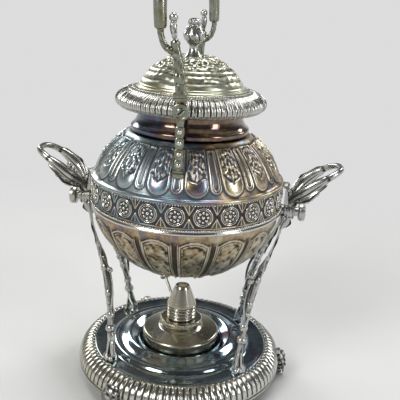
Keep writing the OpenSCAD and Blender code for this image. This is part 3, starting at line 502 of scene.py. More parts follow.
def repeated(shape, name, body, finish, count):
    """Repeats one motif round the axis and makes the result a plain mesh."""
    motif = placed(name + "_motif", shape.mesh(name + "_motif", finish))
    step = motif.modifiers.new("Repeat", "NODES")
    step.node_group = bpy.data.node_groups.get(REPEAT) or round_tree()
    values = {"Count": count, "Finish": FINISH[finish]}
    for item in step.node_group.interface.items_tree:
        if item.item_type == "SOCKET" and item.in_out == "INPUT" and item.name in values:
            step[item.identifier] = values[item.name]
    bpy.context.view_layer.update()
    result = motif.evaluated_get(bpy.context.evaluated_depsgraph_get())
    mesh = bpy.data.meshes.new_from_object(result)
    mesh.name = name
    motif.modifiers.remove(step)
    bpy.data.objects.remove(motif)
    return hand_over(placed(name, mesh), body)


# Finishes


class Tree:
    """A tree of nodes, filled through one method."""

    def __init__(self, tree):
        self.tree = tree

    def node(self, kind, settings=None, values=None):
        """A node of that kind: its settings first, then the values or links of its sockets."""
        node = self.tree.nodes.new(kind)
        for key, value in (settings or {}).items():
            if key == "stops":
                self.set_stops(node.color_ramp, value)
            else:
                setattr(node, key, value)
        for key, value in (values or {}).items():
            if isinstance(value, Value):
                value = value.socket
            if isinstance(value, bpy.types.NodeSocket):
                self.tree.links.new(value, node.inputs[key])
            else:
                node.inputs[key].default_value = value
        return node

    def set_stops(self, ramp, stops):
        """Gives a ramp its stops, each a position and three numbers."""
        while len(ramp.elements) < len(stops):
            ramp.elements.new(0.5)
        for element, (position, colour) in zip(ramp.elements, stops):
            element.position = position
            element.color = (*colour, 1.0)


class Value:
    """A number that varies over a surface, with the usual sums."""

    def __init__(self, paint, socket):
        self.paint = paint
        self.socket = socket

    def sum(self, operation, first, second):
        """One Math node on two numbers."""
        node = self.paint.node("ShaderNodeMath", {"operation": operation}, {0: first, 1: second})
        return Value(self.paint, node.outputs[0])

    def __add__(self, other):
        return self.sum("ADD", self, other)

    def __radd__(self, other):
        return self.sum("ADD", other, self)

    def __sub__(self, other):
        return self.sum("SUBTRACT", self, other)

    def __rsub__(self, other):
        return self.sum("SUBTRACT", other, self)

    def __mul__(self, other):
        return self.sum("MULTIPLY", self, other)

    def __rmul__(self, other):
        return self.sum("MULTIPLY", other, self)

    def __pow__(self, other):
        return self.sum("POWER", self, other)

    def clamped(self):
        """The number kept between 0 and 1."""
        node = self.paint.node("ShaderNodeClamp", {}, {"Value": self})
        return Value(self.paint, node.outputs[0])

    def between(self, low, high):
        """0 below low, 1 above high, and a straight line from one to the other."""
        return ((self - low) * (1 / (high - low))).clamped()


class Paint(Tree):
    """One finish, made of shader nodes."""

    def __init__(self, name, library=None):
        library = bpy.data.materials if library is None else library
        self.owner = library.new(name)
        self.owner.use_nodes = True
        super().__init__(self.owner.node_tree)
        self.tree.nodes.clear()
        self.places = self.node("ShaderNodeTexCoord").outputs

    def noise(self, size, detail=3.0, rough=0.55, twist=0.0, seed=0.0, stretch=(1, 1, 1)):
        """Cloudy noise whose patches are about size millimetres wide."""
        moved = self.node("ShaderNodeMapping", {}, {
            "Vector": self.places["Object"],
            "Location": (seed, seed * 0.7, seed * 1.3),
            "Scale": stretch,
        })
        node = self.node("ShaderNodeTexNoise", {}, {
            "Vector": moved.outputs[0],
            "Scale": 1 / (size * MM),
            "Detail": detail,
            "Roughness": rough,
            "Distortion": twist,
        })
        return Value(self, node.outputs[0])

    def axis(self, name, place="Object"):
        """The distance along one axis."""
        parts = self.node("ShaderNodeSeparateXYZ", {}, {0: self.places[place]})
        return Value(self, parts.outputs[name])

    def attribute(self, name):
        """A number that the mesh holds for each point."""
        node = self.node("ShaderNodeAttribute", {"attribute_name": name}, {})
        return Value(self, node.outputs["Fac"])

    def ramp(self, value, stops):
        """The colour of a ramp at that value."""
        return self.node("ShaderNodeValToRGB", {"stops": stops}, {0: value}).outputs[0]

    def mix(self, share, first, second, how="MIX"):
        """A mix of two colours, each a link or three numbers."""
        values = {0: share}
        for key, colour in ((6, first), (7, second)):
            values[key] = colour if isinstance(colour, bpy.types.NodeSocket) else (*colour, 1.0)
        return self.node("ShaderNodeMix", {"data_type": "RGBA", "blend_type": how}, values).outputs[2]

    def bump(self, height, strength, distance):
        """A bump of that height, in millimetres."""
        values = {"Height": height, "Strength": strength, "Distance": distance * MM}
        return self.node("ShaderNodeBump", {}, values).outputs[0]

    def shader(self, colour, roughness, metallic=1.0, bump=None):
        """One principled shader."""
        values = {"Base Color": colour, "Roughness": roughness, "Metallic": metallic}
        if bump is not None:
            values["Normal"] = bump
        return self.node("ShaderNodeBsdfPrincipled", {}, values).outputs[0]

    def close(self, shader, kind="Material"):
        """Links the shader to the output and gives the finished material or world."""
        self.node("ShaderNodeOutput" + kind, {}, {"Surface": shader})
        return self.owner

    def finish(self, colour, roughness, metallic=1.0, bump=None):
        """Closes the finish with one principled shader."""
        return self.close(self.shader(colour, roughness, metallic, bump))


def tarnish_stops(colours):
    """Silver as its tarnish thickens: silver, straw, gold, rose, violet, blue, steel."""
    places = (0.0, 0.24, 0.38, 0.48, 0.54, 0.62, 0.76)
    names = ("silver", "straw", "gold", "rose", "violet", "blue", "steel")
    stops = [(p, tuple(getattr(colours, n))) for p, n in zip(places, names)]
    return stops + [(1.0, tuple(0.5 * (a + b) for a, b in zip(colours.steel, colours.silver)))]


def tarnished(name, colours, film, spread, left=0.0, rise=0.0, middle=0.19, grime_and_shade=0.85,
              gloss=0.2, patch=26.0, streak=(1, 1, 1), seed=0.0, tint=(1, 1, 1)):
    """Silver plate under a coloured film.

    film is how thick the film is on the whole, spread how much it changes from place to
    place, left how much thicker it grows towards the left side, and rise how much
    thicker from the height middle upwards."""
    paint = Paint(name)
    cloud = paint.noise(patch, 3.0, 0.6, 0.5, seed, streak)
    fleck = paint.noise(5.0, 2.0, 0.6, 0.0, seed + 3)
    fine = paint.noise(0.9, 3.0, 0.65, 0.0, seed + 7)
    depth = paint.attribute(MARK)
    thick = film + (cloud - 0.5) * spread + (fleck - 0.5) * (spread * 0.45)
    if left:
        thick = thick - paint.axis("X") * (left / 0.09)
    if rise:
        thick = thick + (paint.axis("Z") - middle) * (rise / 0.05)
    thick = thick - depth * 0.16
    colour = paint.ramp(thick.clamped(), tarnish_stops(colours))
    if tint != (1, 1, 1):
        colour = paint.mix(1.0, colour, tint, "MULTIPLY")
    # Low points darken towards the oxide colour: tarnish in the hollows and painted shade together, with
    # fine random dirt on top.
    hollow_tarnish_and_shade = (0.0 - depth).between(0.02, 0.55)
    dirt_and_shade = (hollow_tarnish_and_shade * grime_and_shade + (fleck * fine - 0.33).between(0.0, 0.12) * 0.22 * grime_and_shade).clamped()
    colour = paint.mix(dirt_and_shade, colour, colours.oxide_and_shade)
    worn = depth.between(0.25, 0.9)
    colour = paint.mix(worn * 0.45, colour, colours.silver)
    rough = gloss + (cloud - 0.5) * 0.12 + (fine - 0.5) * 0.12 + dirt_and_shade * 0.3
    height = fine * 0.5 + fleck
    return paint.finish(colour, rough.clamped(), 1.0, paint.bump(height, 0.12, 0.25))


def make_finishes(colours):
    """Every finish of the kettle, by a short name."""
    silvers = {
        "plate": ("plate_worn", dict(film=0.08, spread=0.36, left=0.10)),
        "shell": ("shell_blued", dict(film=0.62, spread=0.95, left=0.30, rise=-0.05, middle=0.225,
                                      grime_and_shade=0.8, gloss=0.3, tint=(1.04, 1.05, 1.02))),
        "neck": ("neck_violet", dict(film=0.48, spread=0.75, left=0.26, gloss=0.12, patch=22.0,
                                     streak=(1, 1, 0.6), tint=(0.42, 0.37, 0.40))),
        "band": ("band_chased", dict(film=0.50, spread=0.95, left=0.22, gloss=0.3, patch=20.0,
                                     tint=(0.92, 0.93, 0.90))),
        "bowl": ("bowl_browned", dict(film=0.32, spread=0.80, left=0.10, rise=0.12, middle=0.150,
                                      grime_and_shade=0.9, gloss=0.3, patch=8.0, streak=(1, 1, 0.45),
                                      tint=(0.82, 0.77, 0.70))),
        "lid": ("lid_golden", dict(film=0.20, spread=0.50, left=0.05, gloss=0.33, patch=14.0,
                                   tint=(0.84, 0.88, 0.78))),
        "brim": ("brim_cream", dict(film=0.08, spread=0.26, left=0.10, gloss=0.28, patch=22.0,
                                    tint=(0.9, 0.9, 0.88))),
        "tray": ("tray_polished", dict(film=0.74, spread=0.95, left=0.12, gloss=0.12, patch=30.0,
                                       tint=(1.15, 1.18, 1.18))),
        "rim": ("rim_cast", dict(film=0.12, spread=0.40, left=0.10, gloss=0.24, patch=24.0,
                                 tint=(0.9, 0.92, 0.9))),
        "cast": ("cast_limbs", dict(film=0.06, spread=0.30, left=0.06, gloss=0.27, patch=16.0,
                                    grime_and_shade=0.95, tint=(0.72, 0.73, 0.74))),
        "bail": ("bail_smooth", dict(film=0.30, spread=0.60, left=0.05, gloss=0.27, patch=9.0,
                                     tint=(0.46, 0.53, 0.54))),
    }
    made = {}
    for seed, (key, (name, look)) in enumerate(silvers.items(), 1):
        made[key] = tarnished("silver_" + name, colours, seed=float(seed), **look)
    made["nickel"] = nickel_finish(colours)
    made["wick"] = wick_finish()
    made["ivory"] = ivory_finish()
    return made


def nickel_finish(colours):
    """The burner's dull nickel, turned on a lathe and a little yellowed."""
    paint = Paint("nickel_turned")
    cloud = paint.noise(14.0, 3.0, 0.6, 0.3, 12.0)
    lines = paint.noise(0.5, 2.0, 0.7, 0.0, 13.0, (0.05, 0.05, 1.0))
    depth = paint.attribute(MARK)
    colour = paint.mix(cloud.between(0.35, 0.7), colours.nickel, (0.46, 0.41, 0.28))
    # Low points darken towards the oxide colour: oxide in the grooves and painted shade together.
    hollow_tarnish_and_shade = (0.0 - depth).between(0.02, 0.5)
    colour = paint.mix(hollow_tarnish_and_shade * 0.8, colour, colours.oxide_and_shade)
    rough = 0.24 + (cloud - 0.5) * 0.16 + (lines - 0.5) * 0.14 + hollow_tarnish_and_shade * 0.2
    return paint.finish(colour, rough.clamped(), 1.0, paint.bump(lines, 0.1, 0.1))


def wick_finish():
    """Braided cotton, scorched brown in patches."""
    paint = Paint("wick_cotton_braided")
    wave = paint.node("ShaderNodeTexWave", {"wave_type": "BANDS", "bands_direction": "DIAGONAL"},
                      {"Vector": paint.places["Object"], "Scale": 320.0, "Distortion": 1.5})
    weave = Value(paint, wave.outputs["Fac"])
    cloud = paint.noise(3.0, 3.0, 0.6, 0.0, 14.0)
    colour = paint.mix(weave, (0.62, 0.50, 0.28), (0.84, 0.74, 0.50))
    colour = paint.mix(cloud.between(0.52, 0.75) * 0.5, colour, (0.25, 0.17, 0.08))
    return paint.finish(colour, 0.85 + (cloud - 0.5) * 0.1, 0.0, paint.bump(weave, 0.5, 0.3))


def ivory_finish():
    """Bone-coloured rings with fine lengthwise grain."""
    paint = Paint("ring_ivory_polished")
    grain = paint.noise(1.2, 3.0, 0.6, 0.4, 15.0, (1, 0.15, 1))
    colour = paint.mix(grain, (0.80, 0.71, 0.52), (0.93, 0.88, 0.75))
    return paint.finish(colour, 0.28 + (grain - 0.5) * 0.1, 0.0, paint.bump(grain, 0.08, 0.1))


def plain_floor():
    """The pale floor, a little mottled like seamless paper. Far away it fades into the backdrop."""
    paint = Paint("floor_pale_paper")
    cloud = paint.noise(90.0, 3.0, 0.5, 0.0, 16.0)
    colour = paint.mix(cloud, (0.70, 0.70, 0.69), (0.74, 0.74, 0.73))
    near = paint.shader(colour, 0.8 + (cloud - 0.5) * 0.1, 0.0)
    far = paint.node("ShaderNodeEmission", {}, {"Color": (BACKDROP, BACKDROP, BACKDROP, 1.0)})
    x, y = paint.axis("X"), paint.axis("Y")
    reach = (x * x + y * y) ** 0.5
    path = paint.node("ShaderNodeLightPath").outputs
    seen = (Value(paint, path["Is Camera Ray"]) + Value(paint, path["Is Glossy Ray"])).clamped()
    share = reach.between(0.22, 0.75) * seen
    both = paint.node("ShaderNodeMixShader", {}, {0: share, 1: near, 2: far.outputs[0]})
    return paint.close(both.outputs[0])


# Outlines


def soften(points, cut=0.6, step=1.5, closed=True):
    """The same outline with rounded corners and a point at least every step millimetres."""
    p = np.array(points, float)
    n = len(p)
    out = []
    for i in range(n):
        if not closed and i in (0, n - 1):
            out.append(p[i])
            continue
        before, here, after = p[i - 1], p[i], p[(i + 1) % n]
        a, b = before - here, after - here
        la, lb = np.linalg.norm(a), np.linalg.norm(b)
        if la < 1e-6 or lb < 1e-6:
            continue
        start = here + a / la * min(cut, 0.45 * la)
        end = here + b / lb * min(cut, 0.45 * lb)
        for t in (0, 0.33, 0.67, 1):
            out.append((1 - t) ** 2 * start + 2 * t * (1 - t) * here + t * t * end)
    dense = []
    for i, here in enumerate(out):
        dense.append(here)
        if i == len(out) - 1 and not closed:
            break
        after = out[(i + 1) % len(out)]
        extra = int(np.linalg.norm(after - here) / step)
        for j in range(extra):
            dense.append(here + (after - here) * (j + 1) / (extra + 1))
    return np.array(dense)


def bar(shape, levels, sides=24, place=None, square=0.35):
    """An upright bar: each level holds its height, middle x and y, half width and half depth.

    Its section is a rounded rectangle, with sharper corners where square is small."""
    angle = np.arange(sides) / sides * FULL
    across, along = (np.sign(v) * np.abs(v) ** square for v in (np.cos(angle), np.sin(angle)))
    rings = [np.stack([x + wide * across, y + deep * along, np.full(sides, z)], axis=1)
             for z, x, y, wide, deep in levels]
    shape.skin(rings, False, None, place)


def disc(shape, outline, place, around=48):
    """A solid turned from an open outline whose ends lie on its axis."""
    p = soften(outline, 0.35, 2.0, False)
    p[:, 0] = np.maximum(p[:, 0], AXIS_R)
    shape.turned(p, around, None, None, place)


def facing(point, direction):
    """A place at the point whose own Z looks along the direction."""
    z = unit(direction)
    x = unit(np.cross((0.0, 0.0, 1.0) if abs(z[2]) < 0.9 else (0.0, 1.0, 0.0), z))
    m = np.eye(4)
    m[:3, 0] = x
    m[:3, 1] = np.cross(z, x)
    m[:3, 2] = z
    m[:3, 3] = point
    return m


# Chasing


def mottle(a, z, radius, size, seed):
    """Soft irregular bumps that close up all the way round."""
    total = 0.0
    for i in range(7):
        way = 2.4 * i + 1.7 * seed
        near = size * (0.8 + 0.09 * ((i * 3) % 7))
        turns = round(FULL * radius / near * math.cos(way))
        total = total + np.cos(turns * a + FULL / near * math.sin(way) * z + 1.9 * i * seed)
    return total / 3.6


def panel_angle(a, count, shift):
    """The angle from the middle of the nearest panel."""
    pitch = FULL / count
    return (a - shift + pitch / 2) % pitch - pitch / 2


def tongue(u, v, half, low, high):
    """Distance outside a tongue-shaped outline, negative inside. Its lower end is round."""
    centre = low + half
    below = np.sqrt(u**2 + np.minimum(v - centre, 0) ** 2) - half
    beside = np.abs(u) - half
    d = np.where(v < centre, below, beside)
    return np.maximum(d, v - high)


def shell_relief(a, s, r, z):
    """The upper shell: full tongues with a smooth pad below and soft strokes above, slim loops between."""
    count = sizes().panels
    deep = chasing()
    pitch = FULL / count
    v = s - 6.0
    wide = panel_angle(a, count, pitch / 2) * r
    scale = r / 80.0
    half = 9.0 * scale
    d = tongue(wide, v, half, 3.6, 46.5)
    share = np.clip(-d / half, 0, 1)
    high = 1.7 * np.sqrt(1 - (1 - share) ** 2) + 0.8 * ridge(d, 0.55)
    soft = mottle(a, s, 80, 11, 2.0)
    fold = v - 21.5 + 0.85 * (half - np.abs(wide)) - 1.6 * soft
    above = ease(fold, 0.0, 1.2) * ease(-d, 0.5, 1.8)
    high = high - 1.5 * ridge(fold - 0.9, 1.1) * ease(-d, 0.8, 2.0)
    strokes = np.cos(wide / scale * 1.75 + 1.5 * soft + 0.4 * np.sin(0.3 * v))
    chevron = np.cos(FULL * (v + 0.8 * (np.abs(wide) - half)) / 7.5 + 1.8 * soft)
    small = mottle(a, s, 80, 3.6, 5.0)
    high = high + above * (0.3 * strokes + 0.34 * chevron + 0.16 * small + 0.3 * soft)
    slim = panel_angle(a, count, 0) * r
    e = tongue(slim, v, 3.9 * scale, 6.5, 45.0)
    inner = tongue(slim, v, 2.3 * scale, 8.6, 45.0)
    high = high + 1.0 * ridge(e, 0.6) + 0.8 * ridge(inner, 0.55)
    fade = ease(s, 4.5, 7.0) * (1 - ease(v, 46.5, 49.0))
    lines = ridge(d - 1.3, 0.6) + ridge(d + 1.2, 0.5) + ridge(e - 1.1, 0.5) + ridge(e + 0.8, 0.35)
    shade = -0.32 * np.minimum(lines, 1) - 0.12 * ease(d, 0.6, 2.0) * ease(e, 0.6, 2.0) - 0.2 * above
    return deep * high * fade, shade * fade


def bowl_relief(a, s, r, z):
    """The bowl: arched panels of low soft bumps, and smooth strips between double lines."""
    count = sizes().panels
    deep = chasing()
    pitch = FULL / count
    scale = np.maximum(r, 20.0) / 86.0
    down = 178.0 - z
    wide = panel_angle(a, count, pitch / 2) * r
    half = 12.4 * scale
    arch = 7.0 + 5.0 * (wide / half) ** 2
    d = np.maximum(np.abs(wide) - half, (arch - down) * 0.8)
    inside = ease(-d, 0.5, 1.8)
    high = 0.9 * ridge(d, 0.6) + 0.45 * ridge(d + 2.2, 0.5)
    bumps = mottle(a, 0.7 * s, 80, 11.0, 3.0)
    small = mottle(a, s, 80, 4.2, 7.0)
    leaf = np.cos(wide / scale * 0.7 + 1.2 * np.sin(down * 0.3)) * np.cos(0.5 * down + bumps)
    high = high + inside * (0.34 * bumps + 0.1 * small + 0.14 * leaf)
    slim = panel_angle(a, count, 0) * r
    for place, tall in ((2.9, 0.9), (4.2, 0.8)):
        high = high + tall * ridge(np.abs(slim) - place * scale, 0.42) * ease(down, 9.0, 12.0)
    fade = ease(down, 6.0, 7.5) * ease(r, 38.0, 44.0)
    rings = 0.6 * ridge(r - 33.5, 0.9)
    # The smooth strips and the lines round the panels get painted shade.
    strip = ease(2.6 * scale - np.abs(slim), 0, 0.6) + ridge(d - 0.9, 0.5)
    return deep * (high * fade + rings), -0.3 * fade * strip


def band_relief(a, s, r, z):
    """The band: a leaf above and a leaf below between the rosettes, and a line along each edge."""
    count = sizes().rosettes
    deep = chasing()
    pitch = FULL / count
    x = panel_angle(a, count, 0) * BODY_R
    y = z - BAND_MIDDLE
    from_rose = np.sqrt(x**2 + y**2)
    w = panel_angle(a, count, pitch / 2) * BODY_R
    flat = np.abs(y)
    ground = ease(from_rose, 8.9, 9.5)
    spread = 0.55 * (flat - 1.5)
    leaf = ease(spread - np.abs(w), -0.3, 0.3) * ease(flat, 1.5, 2.5) * (1 - ease(flat, 9.4, 10.0))
    edge = ridge(np.abs(w) - spread, 0.45) * ease(flat, 1.5, 2.2) * (1 - ease(flat, 9.4, 10.0))
    vein = ridge(w, 0.4) * leaf
    stipple = 0.16 * np.cos(x * 5.2) * np.cos(y * 5.2)
    high = ground * (0.7 * edge + 0.45 * leaf + 0.5 * vein - 0.5)
    border = 0.7 * ridge(flat - 10.6, 0.45)
    fade = ease(11.9 - flat, 0, 0.6)
    shade = -0.42 * fade * (1 - ease(high, 0.0, 0.3)) * ease(10.2 - flat, 0, 0.5)
    return deep * (high + stipple - 0.45 * (1 - ground) + border) * fade, shade


def dome_relief(a, s, r, z):
    """The lid's dome: leaf scrolls and flowers on the crown, soft turned waves below."""
    deep = chasing()
    crown = ease(r, 9.0, 11.5) * (1 - ease(r, 31.0, 34.5))
    k = 10
    u = panel_angle(a, k, 0) * r
    v = s - 19.5
    flower = np.sqrt(u**2 + v**2)
    petals = 0.5 + 0.5 * np.cos(6 * np.arctan2(u, v))
    rose = np.clip(1 - flower / (4.6 + 1.2 * petals), 0, 1)
    high = 1.7 * np.sqrt(rose) - 1.1 * np.sqrt(np.clip(1 - flower / 1.3, 0, 1))
    w = panel_angle(a, k, math.pi / k) * r
    spiral = np.cos(1.5 * np.sqrt(w**2 + (v - 1) ** 2) - 2.0 * np.arctan2(np.abs(w), v - 1))
    fine = mottle(a, 0.6 * s, 24, 4.6, 6.0)
    high = high + (1 - ease(rose, 0, 0.12)) * (0.35 * spiral + 0.6 * fine + 0.2)
    tips = 0.5 + 0.5 * np.cos(a * 30 + 2.4 * np.sin(a * 10))
    border = ridge(r - 31.0 + 2.2 * tips, 1.0)
    high = high * crown + crown * 0.45 * border
    wave = r + 0.3 * np.sin(a * 7) + 0.25 * np.sin(a * 12 + 2.0)
    draped = 0.26 * np.cos(FULL * wave / 4.6) + 0.16 * mottle(a, 0.5 * s, 40, 7.0, 4.0)
    below = ease(r, 33.0, 35.0) * (1 - ease(r, 45.0, 46.5))
    return deep * (high + draped * below)


def brim_relief(a, s, r, z):
    """The lid's brim: a row of upright loops with a vein in each and dark gaps between them."""
    count = sizes().brim_lobes
    deep = chasing()
    u = panel_angle(a + 0.006 * np.sin(a * 13) + 0.004 * np.sin(a * 29), count, 0) * count / FULL
    low = z - BRIM_Z
    reach = ease(r, 56.0, 57.6) * ease(low, -15.2, -13.4)
    loop = ridge(np.abs(u) - 0.27, 0.09)
    gap = ridge(np.abs(u) - 0.5, 0.10)
    vein = ridge(u, 0.07) * ease(r, 58.0, 60.0)
    return deep * reach * (1.0 * loop + 0.35 * vein - 0.9 * gap)


def rim_relief(a, s, r, z):
    """The base's rim: full gadroons, each with two fine ridges, and deep grooves between them."""
    count = sizes().rim_lobes
    deep = chasing()
    u = panel_angle(a, count, 0) * count / FULL
    lobe = np.sqrt(np.clip(1 - (2.12 * u) ** 2, 0, 1))
    two = ridge(np.abs(u) - 0.2, 0.08)
    reach = ease(r, 88.0, 90.5) * ease(z, 15.4, 17.2)
    return deep * reach * (1.5 * lobe + 0.45 * two - 1.5)


def finial_relief(a, s, r, z):
    """A smooth bulb with soft leaf folds, on a turned foot and under a small knot."""
    deep = chasing()
    h = (z - DISH_Z) / FINIAL_H
    bulb = ease(h, 0.36, 0.46) * (1 - ease(h, 0.78, 0.83))
    lean = 3 * a + 5.0 * h
    fold = np.abs(np.cos(lean)) ** 0.55
    second = ridge(np.sin(lean + 0.9) * 2.6 - 12.0 * (h - 0.6), 0.5)
    knot = ease(h, 0.83, 0.87) * (1 - ease(h, 0.96, 0.99))
    foot = (1 - ease(h, 0.05, 0.08)) * ease(h, 0.01, 0.03)
    return deep * (bulb * (0.85 * fold + 0.45 * second - 0.7) + 0.4 * knot * np.cos(a * 6)
                   + 0.3 * foot * np.cos(a * 14))


def bark(seed, knots=7, depth=0.55):
    """The relief of a cast branch: knots, and ridges that wind along it."""
    def relief(t, angle):
        wind = np.cos(3 * angle + 9 * t * 3 + seed)
        small = np.cos(7 * angle - 16 * t * 3 + 2.1 * seed)
        knot = np.maximum(0, np.sin(FULL * knots * t + seed)) ** 5
        lean = 0.6 + 0.4 * np.cos(angle - seed * 1.7 - 5 * t * 3)
        return depth * (0.45 * wind + 0.3 * small + 1.7 * knot * lean)
    return relief


def leafy(seed, lobes=6, depth=0.7):
    """The relief of a leaf wrapped round a bar."""
    def relief(t, angle):
        vein = np.cos(FULL * lobes * t - 2.4 * np.abs(np.sin(angle * 0.5 + seed)))
        rib = np.exp(-((np.sin(angle * 0.5 + seed) / 0.18) ** 2))
        fine = np.cos(FULL * lobes * 3 * t + 5 * np.cos(angle))
        return depth * (0.55 * vein + 0.7 * rib + 0.2 * fine)
    return relief


# Kettle


def make_bowl():
    """The bowl under the band, and the stepped disc under it."""
    low = BELLY_Z - BOWL_H * math.sqrt(1 - (31 / BODY_R) ** 2)
    side = even(ellipse(BODY_R, BOWL_H, low, BAND_Z, 400), 1.05)
    inner = even(ellipse(BODY_R - WALL, BOWL_H - WALL, low + WALL, BAND_Z, 60), 9.0)[::-1]
    outline = np.vstack([[[0.05, low], [12, low], [24, low]], side, inner,
                         [[20, low + WALL], [0.05, low + WALL]]])
    bowl = Shape()
    bowl.turned(outline, 768, bowl_relief, 3 + len(side))
    bowl.build("bowl_chased", "kettle", "bowl_brown", "bowl", ("lower_bowl",))
    top = low - 0.05
    outline = [[0.05, top - 6], [21, top - 6], [23, top - 5], [25, top - 3], [28, top - 2],
               [28, top], [0.05, top]]
    cap = Shape()
    cap.turned(soften(outline, 0.8, 2.0, False), 192)
    cap.build("bowl_foot_disc", "kettle", "bowl_brown", "bowl", ("bottom_cap",))


def make_band():
    """The band of rosettes with its beads, and the bright moulding under it."""
    face = even([[BODY_R - 0.3, BAND_Z], [BODY_R, 194.4], [BODY_R - 0.3, BAND_TOP]], 0.62)
    outline = np.vstack([face, [[BODY_R - WALL, BAND_TOP], [BODY_R - WALL, BAND_Z]]])
    band = Shape()
    band.turned(outline, 1152, band_relief, len(face))
    band.build("band_ground", "kettle", "silver_blue", "band", ("frieze_band",))

    rose = Shape()
    turn = np.array([[math.sin(t), 0, math.cos(t)] for t in np.linspace(0, FULL, 37)[:-1]])
    for radius, thick in ((8.0, 0.5), (6.6, 0.36)):
        rings = [turn * (radius + thick * math.cos(q)) + (0, 0.1 - thick * 1.3 * math.sin(q), 0)
                 for q in np.linspace(0, FULL, 7)[:-1]]
        rose.skin(np.array(rings).transpose(1, 0, 2), True)
    for t in np.arange(8) * FULL / 8:
        rose.ball((4.1 * math.sin(t), -0.1, 4.1 * math.cos(t)), 1.3, (1, 0.85, 1), 5, 8)
    rose.ball((0, -0.1, 0), 1.6, (1, 0.9, 1), 6, 10)
    rose.bend(BODY_R, BAND_MIDDLE)
    lower, upper = Shape(), Shape()
    lower.ball((0, -90.75, BAND_Z + 0.5), 0.98, (0.92, 1, 1.05), 5, 7)
    upper.ball((0, -89.95, BAND_TOP - 1.5), 0.72, (1, 1, 1), 4, 6)
    for shape, name, count in ((rose, "band_rosettes", sizes().rosettes),
                               (lower, "band_beads_lower", sizes().beads),
                               (upper, "band_beads_upper", UPPER_BEADS)):
        repeated(shape, name, "kettle", "plate", count)

    low = BAND_Z - 4.6
    inner = BODY_R * math.sqrt(1 - ((low - BELLY_Z) / BOWL_H) ** 2) + 0.05
    outline = [[inner, low], [90.6, low + 0.4], [91.3, low + 1.2], [91.3, low + 2.2],
               [90.7, low + 3.0], [90.2, low + 3.7], [90.15, BAND_Z], [inner, BAND_Z - 1]]
    moulding = Shape()
    moulding.turned(soften(outline, 0.5, 1.0), 384)
    moulding.build("bowl_moulding", "kettle", "silver_plate", "plate", ("bead_moulding",))


def make_shell():
    """The upper shell with its panels, and the polished neck."""
    lip = soften([[BODY_R - WALL, BAND_TOP], [90.8, BAND_TOP], [91.1, 207.4], [90.6, 208.4],
                  [88.9, 208.9]], 0.5, 0.7, False)
    side = even(ellipse(BODY_R, DOME_H, 209.6, SHELL_TOP, 300), 0.8)
    inner = even(ellipse(BODY_R - WALL, DOME_H - WALL, BAND_TOP, SHELL_TOP - 1.2, 60), 7.0)[::-1]
    outline = np.vstack([lip[:-1], side, [[50.93, 249.2], [50.93, 247.6]], inner])
    shell = Shape()
    shell.turned(outline, 960, shell_relief, len(lip) - 1 + len(side))
    shell.build("shell_panelled", "kettle", "silver_blue", "shell", ("upper_shell",))

    foot = SHELL_TOP + 0.45
    outline = [[51, foot], [54.3, foot + 1.2], [54.9, foot + 2.4], [54.9, foot + 5.4],
               [53.5, foot + 6.4], [51.5, foot + 8.4], [49.7, foot + 11.5], [NECK_R, foot + 15.5],
               [NECK_R, MOUTH_Z - 3], [49.3, MOUTH_Z - 1.5], [48.9, MOUTH_Z], [46.4, MOUTH_Z],
               [46.4, foot + 12], [47.8, foot + 8], [49.5, foot + 5], [47.5, foot]]
    neck = Shape()
    neck.turned(soften(outline, 1.1, 1.2), 288)
    neck.build("neck_polished", "kettle", "silver_blue", "neck", ("neck_collar",))


def spout_path(thin):
    """The spout's middle line and radius, thinned for its inside."""
    stations = [[-.12, -.02, 1], [.13, -.02, .96], [.34, .05, .76], [.53, .22, .45],
                [.64, .46, .2], [.74, .7, .06], [.87, .89, 0], [SPOUT_END, SPOUT_END, 0]]
    rows = [[0, 71.37 + out * 79.63, 146 + up * 80, 6.8 + 7.7 * wide - thin]
            for out, up, wide in stations]
    return spline(rows, 10)


def make_spout():
    """The spout: fluted and leafed at its root, open at its tip."""
    root, sides = 9, 72
    outer, inner = spout_path(0)[root:], spout_path(WALL)[root:]
    angle = np.arange(sides) / sides * FULL
    share = np.linspace(0, 1, len(outer))[:, None]

    def rings(path, proud):
        """Round rings along the path, each point standing proud of its radius."""
        tangent = unit(np.gradient(path[:, :3], axis=0))
        across = np.broadcast_to(np.array([1.0, 0, 0]), tangent.shape)
        beside = np.cross(tangent, across)
        size = path[:, 3:4] + proud
        return (path[:, None, :3] + across[:, None, :] * (size * np.cos(angle))[..., None]
                + beside[:, None, :] * (size * np.sin(angle))[..., None])

    flute = np.abs(np.cos(angle * 6)) ** 0.7 * (1 - ease(share, 0.36, 0.55))
    tips = 1.1 * ridge(share - 0.44 - 0.07 * np.cos(angle * 12), 0.022)
    collar = 0.9 * ridge(share - 0.62, 0.012) + 0.7 * ridge(share - 0.655, 0.010)
    proud = chasing() * (1.3 * flute + tips + collar - 0.6) - 0.2
    proud = np.minimum(proud, 0.75) * (1 - ease(share, 0.9, 0.97))
    inside = rings(inner, 0.0)[::-1][::4]
    mark = np.concatenate([hollows(proud), np.zeros((len(inside), sides))])
    spout = Shape()
    spout.skin(np.concatenate([rings(outer, proud), inside]), True, mark)
    spout.build("spout_fluted", "kettle", "silver_plate", "plate", ("spout",))


def strap_level(z):
    """One level of a strap: a row of round links, with an eye above and a flared foot below."""
    foot = z < 231.4
    groove = 228.8 < z < 229.6
    down = BAIL_Z - STUD_DOWN - z
    nearest = STUD_PITCH * min(STUDS - 1, max(0, round(down / STUD_PITCH)))
    link = 0.8 * ease(4.1 - abs(down - nearest), 0, 0.7)
    wide = 2.9 + link
    if z > 271:
        wide = max(wide, math.sqrt(max(0, EYE_R**2 - (z - BAIL_Z) ** 2)))
    if foot:
        wide = 4.4
    if z < 229.6:
        wide = 3.7
    if z < 228.8:
        wide = 5.0
    front = 0.55 - min(0.5 * link, 0.54)
    if foot:
        front = 0.9 if groove else 0.02
    front -= STRAP_Y
    back = -78.6 if z > 233 else -75.2
    return z, 0, 0.5 * (front + back), wide, 0.5 * (back - front)


